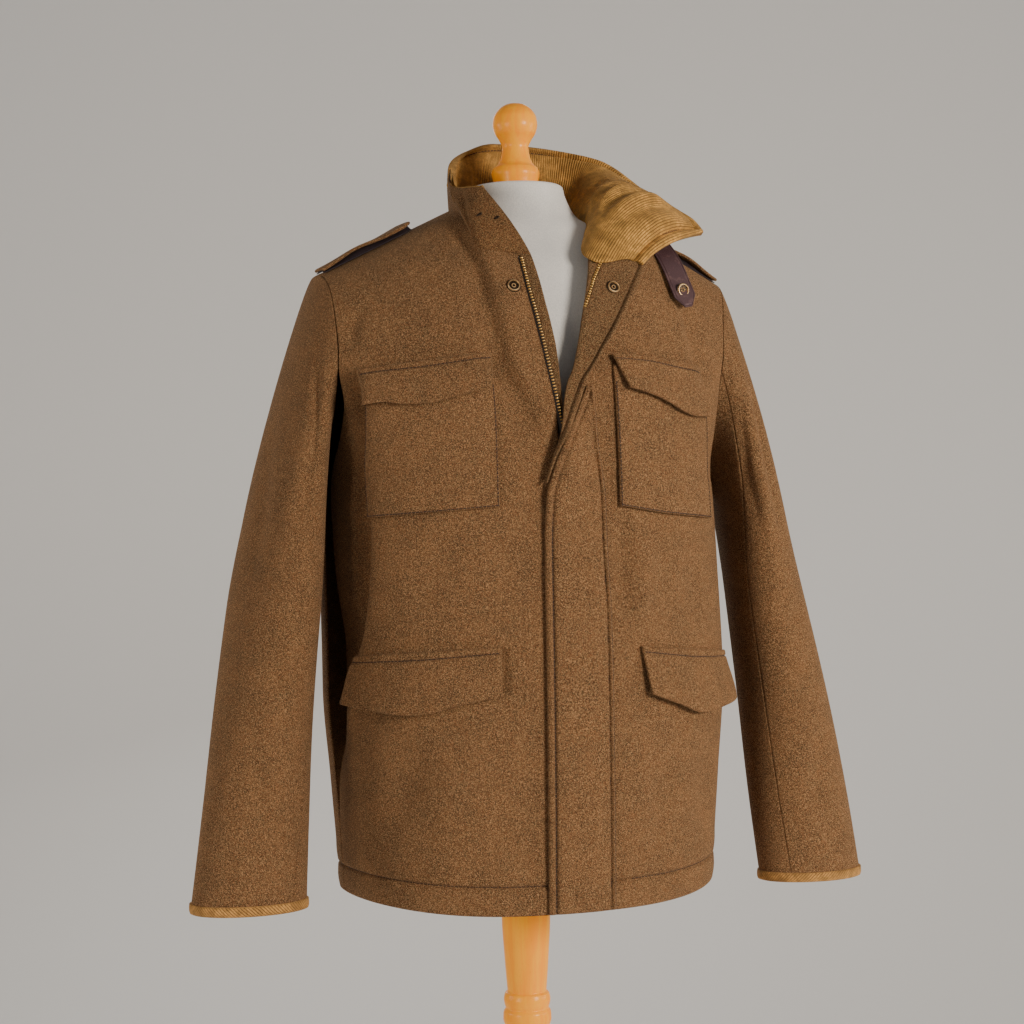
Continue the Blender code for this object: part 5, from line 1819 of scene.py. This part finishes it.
@dataclass(frozen=True)
class Twill(Finish):
    """Smooth dark twill, as under the shoulder straps, where its near-black colour is painted shade.

    Attributes:
        yarn: its colour.
        fold: the width after which the slant of the ribs turns back, or 0 for never.
        ribs: how close the ribs are.
        rib_share: how much of the shade comes from the ribs.
        fuzz: scale and detail of the noise that gives the rest.
        darkest: the darkest shade, a share of the yarn's colour.
        palest: the palest shade.
        deep: the ribs' depth.
    """

    yarn: Triple = (0.02, 0.011, 0.013)
    fold: float = 0.0
    ribs: float = 6500.0
    rib_share: float = 0.4
    fuzz: Pair = (260.0, 3.0)
    darkest: float = 0.6
    palest: float = 1.5
    deep: float = 0.00008

    def dress(self, bench: NodeBench, shader: Node) -> None:
        """Fine slanted ribs on the piece's own cut."""
        given = bench.add("TexCoord").outputs
        cut = bench.add("SeparateXYZ", {0: given["UV"]}).outputs
        across = bench.math("PINGPONG", cut[0], self.fold) if self.fold else cut[0]
        slant = bench.times(bench.math("ADD", across, cut[1]), self.ribs)
        rib = bench.math("ADD", bench.times(bench.math("SINE", slant), 0.5), 0.5)
        fuzz = bench.noise(given["Object"], *self.fuzz)
        shade = bench.weigh(rib, self.rib_share, fuzz, 1.0 - self.rib_share)
        bench.set(shader, {"Base Color": bench.shades(shade, self.yarn, self.darkest, self.palest)})
        self.feel(bench, shader, rib, self.deep)


@dataclass(frozen=True)
class Tape(Twill):
    """Woven zip tape and thread in dark brown, with a fine herringbone; the dark brown is also painted shade
    in the zip's groove and along the seams.
    """

    yarn: Triple = (0.024, 0.015, 0.009)
    fold: float = 0.0015
    ribs: float = 9000.0
    rib_share: float = 0.6
    fuzz: Pair = (900.0, 2.0)
    darkest: float = 0.55
    palest: float = 1.45
    deep: float = 0.0001


@dataclass(frozen=True)
class Metal(Finish):
    """Aged brass: warm, a little mottled and dulled where hands do not rub it."""

    bright: Triple = (0.82, 0.57, 0.3)
    dull: Triple = (0.46, 0.29, 0.14)

    def dress(self, bench: NodeBench, shader: Node) -> None:
        """Mottle the colour and the gloss together."""
        place = bench.add("TexCoord").outputs["Object"]
        tarnish = bench.span(bench.noise(place, 420.0, 4.0, 0.65), 0.4, 0.7)
        gloss = bench.span(tarnish, 0.0, 1.0, self.roughness, self.roughness + 0.22)
        bench.set(shader, {"Base Color": bench.mix(tarnish, tone(self.bright), tone(self.dull)),
                           "Roughness": gloss})
        self.feel(bench, shader, bench.noise(place, 1600.0), 0.00003)


@dataclass(frozen=True)
class Beech(Finish):
    """Varnished orange beech with fine upright grain and short flecks."""

    pale: Triple = (1.0, 0.4, 0.012)
    deep: Triple = (1.0, 0.32, 0.007)

    def dress(self, bench: NodeBench, shader: Node) -> None:
        """Stretch noise along the turning's axis for grain and flecks."""
        place = bench.add("TexCoord").outputs["Object"]
        long, short = (bench.moved(place, Scale=(1.0, 1.0, share)) for share in (0.06, 0.22))
        band = bench.span(bench.noise(long, 170.0, 4.0, 0.6, 0.4), 0.34, 0.66)
        pore = bench.span(bench.noise(short, 1100.0, 2.0, 0.55), 0.6, 0.72)
        colour = bench.mix(band, tone(self.deep), tone(self.pale))
        colour = bench.lay(colour, pore, 0.22, tone(self.deep, 0.7))
        gloss = bench.span(band, 0.0, 1.0, self.roughness + 0.08, self.roughness)
        bench.set(shader, {"Base Color": colour, "Roughness": gloss, "Coat Weight": 0.15,
                           "Coat Roughness": 0.2, "Specular IOR Level": 0.12})
        self.feel(bench, shader, band, 0.00004)


@dataclass(frozen=True)
class Jersey(Finish):
    """Plain off-white knitted cover, with fine upright ribs."""

    yarn: Triple = (0.76, 0.72, 0.65)

    def dress(self, bench: NodeBench, shader: Node) -> None:
        """Fine knit in object space, with a soft overall unevenness."""
        place = bench.add("TexCoord").outputs["Object"]
        knit = bench.noise(bench.moved(place, Scale=(1.0, 1.0, 0.55)), 900.0, 2.0, 0.55)
        shade = bench.weigh(knit, 0.6, bench.noise(place, 22.0, 3.0), 0.4)
        colour = bench.shades(bench.span(shade, 0.3, 0.7), self.yarn, 0.86, 1.08)
        bench.set(shader, {"Base Color": colour, "Sheen Weight": 0.15})
        self.feel(bench, shader, knit, 0.0003)


@dataclass(frozen=True)
class Plaster(Finish):
    """Plain pale paint of the floor and backdrop."""

    paint: Triple = (0.78, 0.77, 0.75)

    def dress(self, bench: NodeBench, shader: Node) -> None:
        """A barely uneven tone."""
        place = bench.add("TexCoord").outputs["Object"]
        bench.set(shader, {"Base Color": bench.shades(bench.noise(place, 1.5, 3.0), self.paint, 0.985, 1.0)})


# ---- studio ----


@dataclass
class Studio:
    """Floor and backdrop, soft lights and the camera."""

    plaster: Plaster
    azimuth: float = -20.0
    distance: float = 2.2
    eye_z: float = 1.17
    lens: float = 75.1
    roll: float = -0.8
    sideways: float = -0.00855
    aim_z: float = 0.95
    floor_before: float = 2.6
    floor_long: float = 3.6
    bend: float = 1.2
    upright: float = 4.2
    wide: float = 9.0
    back_shift: float = 0.9

    def backdrop(self) -> None:
        """A floor that curves up behind the coat."""
        mesh = bmesh.new()
        bmesh.ops.create_grid(mesh, x_segments=1, y_segments=48, size=0.5)
        quarter = self.bend * QUARTER_TURN
        flat = self.floor_long - self.floor_before
        for vert in mesh.verts:
            walked = (vert.co.y + 0.5) * (self.floor_long + quarter + self.upright) - self.floor_before
            angle = min(max((walked - flat) / self.bend, 0.0), QUARTER_TURN)
            depth = min(walked, flat) + self.bend * math.sin(angle) + self.back_shift
            height = self.bend * (1.0 - math.cos(angle)) + max(walked - flat - quarter, 0.0)
            vert.co = (vert.co.x * self.wide, depth, height)
        turn = Matrix.Rotation(math.radians(self.azimuth), 3, "Z")
        bmesh.ops.rotate(mesh, cent=(0.0, 0.0, 0.0), matrix=turn, verts=mesh.verts[:])
        backdrop = add_piece("backdrop", mesh)
        backdrop.data.materials.append(self.plaster.material())

    def lamp(self, name: str, place: Triple, size: float, power: float, colour: Triple) -> None:
        """A soft square light that faces the lower half of the coat."""
        data = bpy.data.lights.new(name, "AREA")
        data.size, data.energy, data.color = size, power, colour
        light = put_in_scene(name, data)
        light.location = place
        aim = Vector((0.0, 0.0, self.aim_z)) - Vector(place)
        light.rotation_euler = aim.to_track_quat("-Z", "Y").to_euler()

    def lights(self) -> None:
        """A large key at the front right, weaker ones from the sides and a pale surround."""
        self.lamp("key", (1.5, -2.7, 1.62), 0.9, 97.0, (1.0, 0.935, 0.86))
        self.lamp("front_left", (-2.8, -1.5, 1.15), 1.0, 34.0, (1.0, 0.93, 0.84))
        self.lamp("warm_side", (2.5, -0.7, 1.3), 1.2, 24.0, (1.0, 0.86, 0.68))
        self.lamp("left_edge", (-2.6, 0.9, 1.3), 1.2, 22.0, (1.0, 0.92, 0.82))
        self.lamp("behind", (0.4, 2.6, 1.9), 1.6, 14.0, (1.0, 0.97, 0.93))
        world = bpy.data.worlds.new("studio")
        world.use_nodes = True
        sky = world.node_tree.nodes["Background"]
        sky.inputs["Color"].default_value = (0.93, 0.93, 0.95, 1.0)
        sky.inputs["Strength"].default_value = 0.2
        bpy.context.scene.world = world

    def camera(self) -> None:
        """The camera at the photograph's height, side and tilt."""
        turn = math.radians(self.azimuth)
        right = Vector((math.cos(turn), math.sin(turn), 0.0))
        back = Vector((math.sin(turn), -math.cos(turn), 0.0))
        up = Vector((0.0, 0.0, 1.0))
        data = bpy.data.cameras.new("photograph")
        data.lens, data.sensor_width = self.lens, 36.0
        camera = put_in_scene("photograph", data)
        place = back * self.distance + up * self.eye_z + right * self.sideways
        facing = Matrix((right, up, back)).transposed().to_4x4()
        rolled = facing @ Matrix.Rotation(math.radians(self.roll), 4, "Z")
        camera.matrix_world = Matrix.Translation(place) @ rolled
        bpy.context.scene.camera = camera

    def build(self) -> None:
        """Build the stage, lights and camera."""
        self.backdrop()
        self.lights()
        self.camera()


# ---- creases ----

FRONT_CREASES = (
    # the dent along the front ends of the wearer's right flaps
    Crease(((-72.2, 1041.8), (-72.8, 994)), 2.8, 5, 0.0, 0.08),
    Crease(((-76.2, 1322.7), (-77.8, 1291.5)), 2.6, 3.6, 0.0, 0.08),
    # the soft fold down from the wearer's left chest pocket to the hip flap
    Crease(((66, 1190), (67, 1120), (65, 1040)), 18, -4, 0.0, 0.3),
    Crease(((49, 1180), (50, 1115), (48, 1030)), 11, 2.4, 0.0, 0.35),
    # beside the zip on the wearer's right, where the front stands proud along it
    Crease(((-93, 1460), (-88.9, 1440.1), (-82.1, 1413.8), (-79, 1374.1), (-73.4, 1339),
            (-67.4, 1311.6), (-61.2, 1293.3), (-50.7, 1270.3), (-35.4, 1238.7)), 11.5, 10, -0.35, 0.12),
    Crease(((-56, 1415), (-53, 1370), (-47, 1320)), 10, -2.2, 0.0, 0.4),
    # the hollow of the wearer's right side, next to the sleeve
    Crease(((-198, 1315), (-196, 1270), (-193.5, 1213), (-191.5, 1174.2), (-191.5, 1135.4),
            (-194, 1096.4), (-198.5, 1057), (-205, 1017.1), (-208, 977.1), (-206, 900),
            (-204, 850)), 11, 20, -0.68, 0.1),
    Crease(((-193, 1190), (-192, 1130), (-194.5, 1070), (-200, 1010)), 11, 6, -0.6, 0.3),
    Crease(((-204.5, 1250), (-203, 1190), (-204, 1120), (-206, 1060)), 2.8, -4.5),
    Crease(((-190, 1376.7), (-202, 1347.1), (-207.6, 1318.2)), 8, 4),
    # soft ripples of the wearer's right front
    Crease(((-150, 970), (-160, 910), (-164, 850)), 16, 3.6),
    Crease(((-115, 960), (-125, 880), (-130, 800)), 18, -2.6),
    Crease(((-60, 1160), (-66, 1100), (-62, 1040)), 14, 2),
    Crease(((-130, 1160), (-140, 1110), (-132, 1060)), 16, 2.2),
    Crease(((-50, 940), (-54, 870), (-50, 810)), 14, 2),
    # wearer's left side
    Crease(((54.7, 1180.3), (52.9, 1121.9), (56.6, 1082.8), (60.2, 1043.7)), 9.5, 3.4, 0.0, 0.25),
    Crease(((83.5, 1160.4), (76.6, 1101.7), (69.5, 1053.1)), 11, -2.6),
    Crease(((145, 1155), (138, 1100), (142, 1045)), 14, 2.6),
    Crease(((138.5, 1391.6), (146.2, 1350.9), (151.8, 1320.5), (153.1, 1270)), 10, 4.2, 0.2),
    Crease(((101.2, 943.3), (95.9, 884.5), (91, 825.7)), 13, 3.4),
    Crease(((150, 940), (153, 880), (156, 820)), 16, 3.4),
    Crease(((64, 980), (68, 920), (66, 850)), 12, -1.8),
    # chest and shoulders
    Crease(((-150, 1420), (-120, 1380), (-100, 1345)), 14, 2.4),
    Crease(((-125, 1455), (-110, 1425), (-106, 1395)), 10, 2.6),
    Crease(((150, 1430), (125, 1400), (112, 1360)), 12, 2.2),
)
BACK_CREASES = (
    Crease(((-150, 1300), (-130, 1220), (-120, 1130)), 14, 4),
    Crease(((140, 1310), (126, 1230), (116, 1120)), 13, 3.6),
    Crease(((-60, 1430), (0, 1418), (70, 1428)), 12, 3),
    Crease(((-90, 980), (-102, 880), (-98, 800)), 14, 3.8),
    Crease(((50, 1000), (60, 900), (54, 800)), 15, 4.2),
    Crease(((130, 940), (138, 860), (132, 800)), 12, 3),
)
RIGHT_SLEEVE_CREASES = (
    Crease(((60, 60), (85, 140), (70, 230)), 12, 4.5),
    Crease(((0, 120), (20, 200), (10, 290)), 11, 3),
    Crease(((20, 300), (60, 320), (95, 310)), 8, 3.5),
    Crease(((40, 345), (80, 365), (110, 350)), 8, 3),
    Crease(((50, 420), (80, 520), (70, 600)), 11, 3),
)
LEFT_SLEEVE_CREASES = (
    Crease(((50, 50), (75, 150), (60, 250)), 12, 4.5),
    Crease(((110, 80), (120, 160), (100, 240)), 10, 3),
    Crease(((30, 290), (70, 310), (105, 300)), 8, 3.5),
    Crease(((40, 350), (75, 375), (110, 360)), 8, 3.2),
    Crease(((60, 430), (85, 520), (80, 600)), 11, 3),
)
COLLAR_CREASES = (
    # a fan from the inner fold on the wearer's left
    Crease(((500, 10), (507, 45), (510, 80)), 5, 3.4, 0.3, 0.35),
    Crease(((488, 8), (492, 45), (496, 82)), 5.8, -3.6, 0.0, 0.35),
    Crease(((478, 6), (480, 45), (484, 78)), 6, 5.4, 0.3, 0.35),
    Crease(((466, 6), (464, 40), (466, 70)), 6.5, -4, 0.0, 0.4),
    Crease(((456, 0), (450, 32), (450, 62)), 7, 4.8, -0.3, 0.4),
    Crease(((436, -10), (424, 18), (420, 46)), 10, 4.4, 0.2, 0.45),
    Crease(((412, 6), (400, 34), (392, 60)), 8, -3, 0.0, 0.4),
    # upright folds behind the neck
    Crease(((366, 0), (362, 40), (358, 80)), 8, -4),
    Crease(((344, 0), (338, 40), (334, 80)), 7, 5),
    Crease(((314, 10), (310, 50), (314, 88)), 7, -3.6),
    Crease(((284, 0), (280, 45), (284, 86)), 8, 4.6),
    Crease(((240, 10), (234, 50), (238, 88)), 7, -3.4),
    Crease(((200, 6), (194, 45), (186, 84)), 7, 4.4),
    Crease(((140, 10), (132, 45), (126, 80)), 6, -1.8),
    Crease(((85, 20), (76, 55), (66, 88)), 7, 2.2),
)


def main() -> None:
    """Build every sub-assembly in order."""
    logging.basicConfig(level=logging.INFO, format="%(name)s: %(message)s")
    wool = Melange("melange_wool_nap", "melange_wool", 0.92)
    # The collar's wool is a darker copy of the coat's wool: painted shade.
    collar_wool_painted_shade = Melange("melange_wool_painted_shade", "melange_wool", 0.92,
                          ground=(0.104, 0.043, 0.014), pale=(0.5, 0.285, 0.12))
    # A darker copy of the wool for the fly's facing and the zip guard: painted shade.
    inner_wool_painted_shade = Melange("melange_wool_inside", "melange_wool_inner", 0.92,
                         ground=(0.122, 0.056, 0.022), pale=(0.54, 0.33, 0.15))
    # Both corduroys' dark furrow colours are painted shade between the wales.
    corduroy = Corduroy("tan_corduroy_wales", "tan_corduroy", 0.85)
    bias = Corduroy("tan_corduroy_bias", "tan_corduroy", 0.85, pitch=0.0022, turn=math.radians(44.0),
                    ridge=(0.54, 0.27, 0.078), furrow=(0.014, 0.006, 0.002))
    brass = Metal("antique_brass_aged", "antique_brass", 0.34, 1.0)
    polished = Metal("antique_brass_teeth", "antique_brass", 0.34, 1.0,
                     bright=(0.86, 0.54, 0.18), dull=(0.48, 0.27, 0.08))
    # Near-black metal for the snaps' cups and the collar studs: painted shade in their hollows and round the
    # snaps' rims.
    dark = Metal("antique_brass_painted_shade", "antique_brass", 0.5, 1.0,
                 bright=(0.06, 0.042, 0.028), dull=(0.02, 0.014, 0.01))
    beech = Beech("varnished_beech_grain", "varnished_beech", 0.3)
    jersey = Jersey("form_jersey_knit", "form_jersey", 0.9)
    # Near-black twill under the shoulder straps: painted shade under the straps.
    lining = Twill("dark_underlay_twill", "dark_underlay", 0.6)
    leather = Leather("plum_leather_grain", "plum_leather", 0.52)
    # Dark zip tape: its colour also paints the shade in the groove beside the teeth.
    tape = Tape("zip_tape_weave_and_shade", "melange_wool_inner", 0.85)
    # Dark sewing yarn for the stitches: real stitching whose dark colour is also painted shade along the
    # seams and edges.
    thread = Tape("sewing_thread", "melange_wool_inner", 0.8, yarn=(0.034, 0.014, 0.005))

    body = BodyForm(front_creases=FRONT_CREASES, back_creases=BACK_CREASES)
    collar_form = CollarForm(creases=COLLAR_CREASES)
    panels = Panels(body, wool)
    panels.build()
    fly = Fly(body, wool, inner_wool_painted_shade)
    fly.build(panels)
    Zip(body, fly, polished, tape).build()
    pockets = Pockets(body, wool)
    pockets.build()
    for side in Side:
        right = side is Side.RIGHT
        sleeve = SleeveForm(side, body, -0.006 if right else 0.004,
                            RIGHT_SLEEVE_CREASES if right else LEFT_SLEEVE_CREASES)
        Sleeve(sleeve, wool, bias).build()
        ShoulderStrap(side, body, wool, lining).build()
    collar = Collar(collar_form, collar_wool_painted_shade, corduroy)
    collar.build()
    sewing = Stitching(body, thread)
    sewing.hem(panels)
    sewing.fly(fly)
    sewing.pockets(pockets)
    sewing.collar(collar)
    tab = ThroatTab(body, leather)
    tab.build()
    Snaps(body, fly, collar_form, brass, dark).build(tab)
    DressForm(jersey, body).build()
    Stand(beech).build()
    Studio(Plaster("plaster_pale", "form_jersey", 0.9)).build()
    LOG.info("built")


if __name__ == "__main__":
    main()
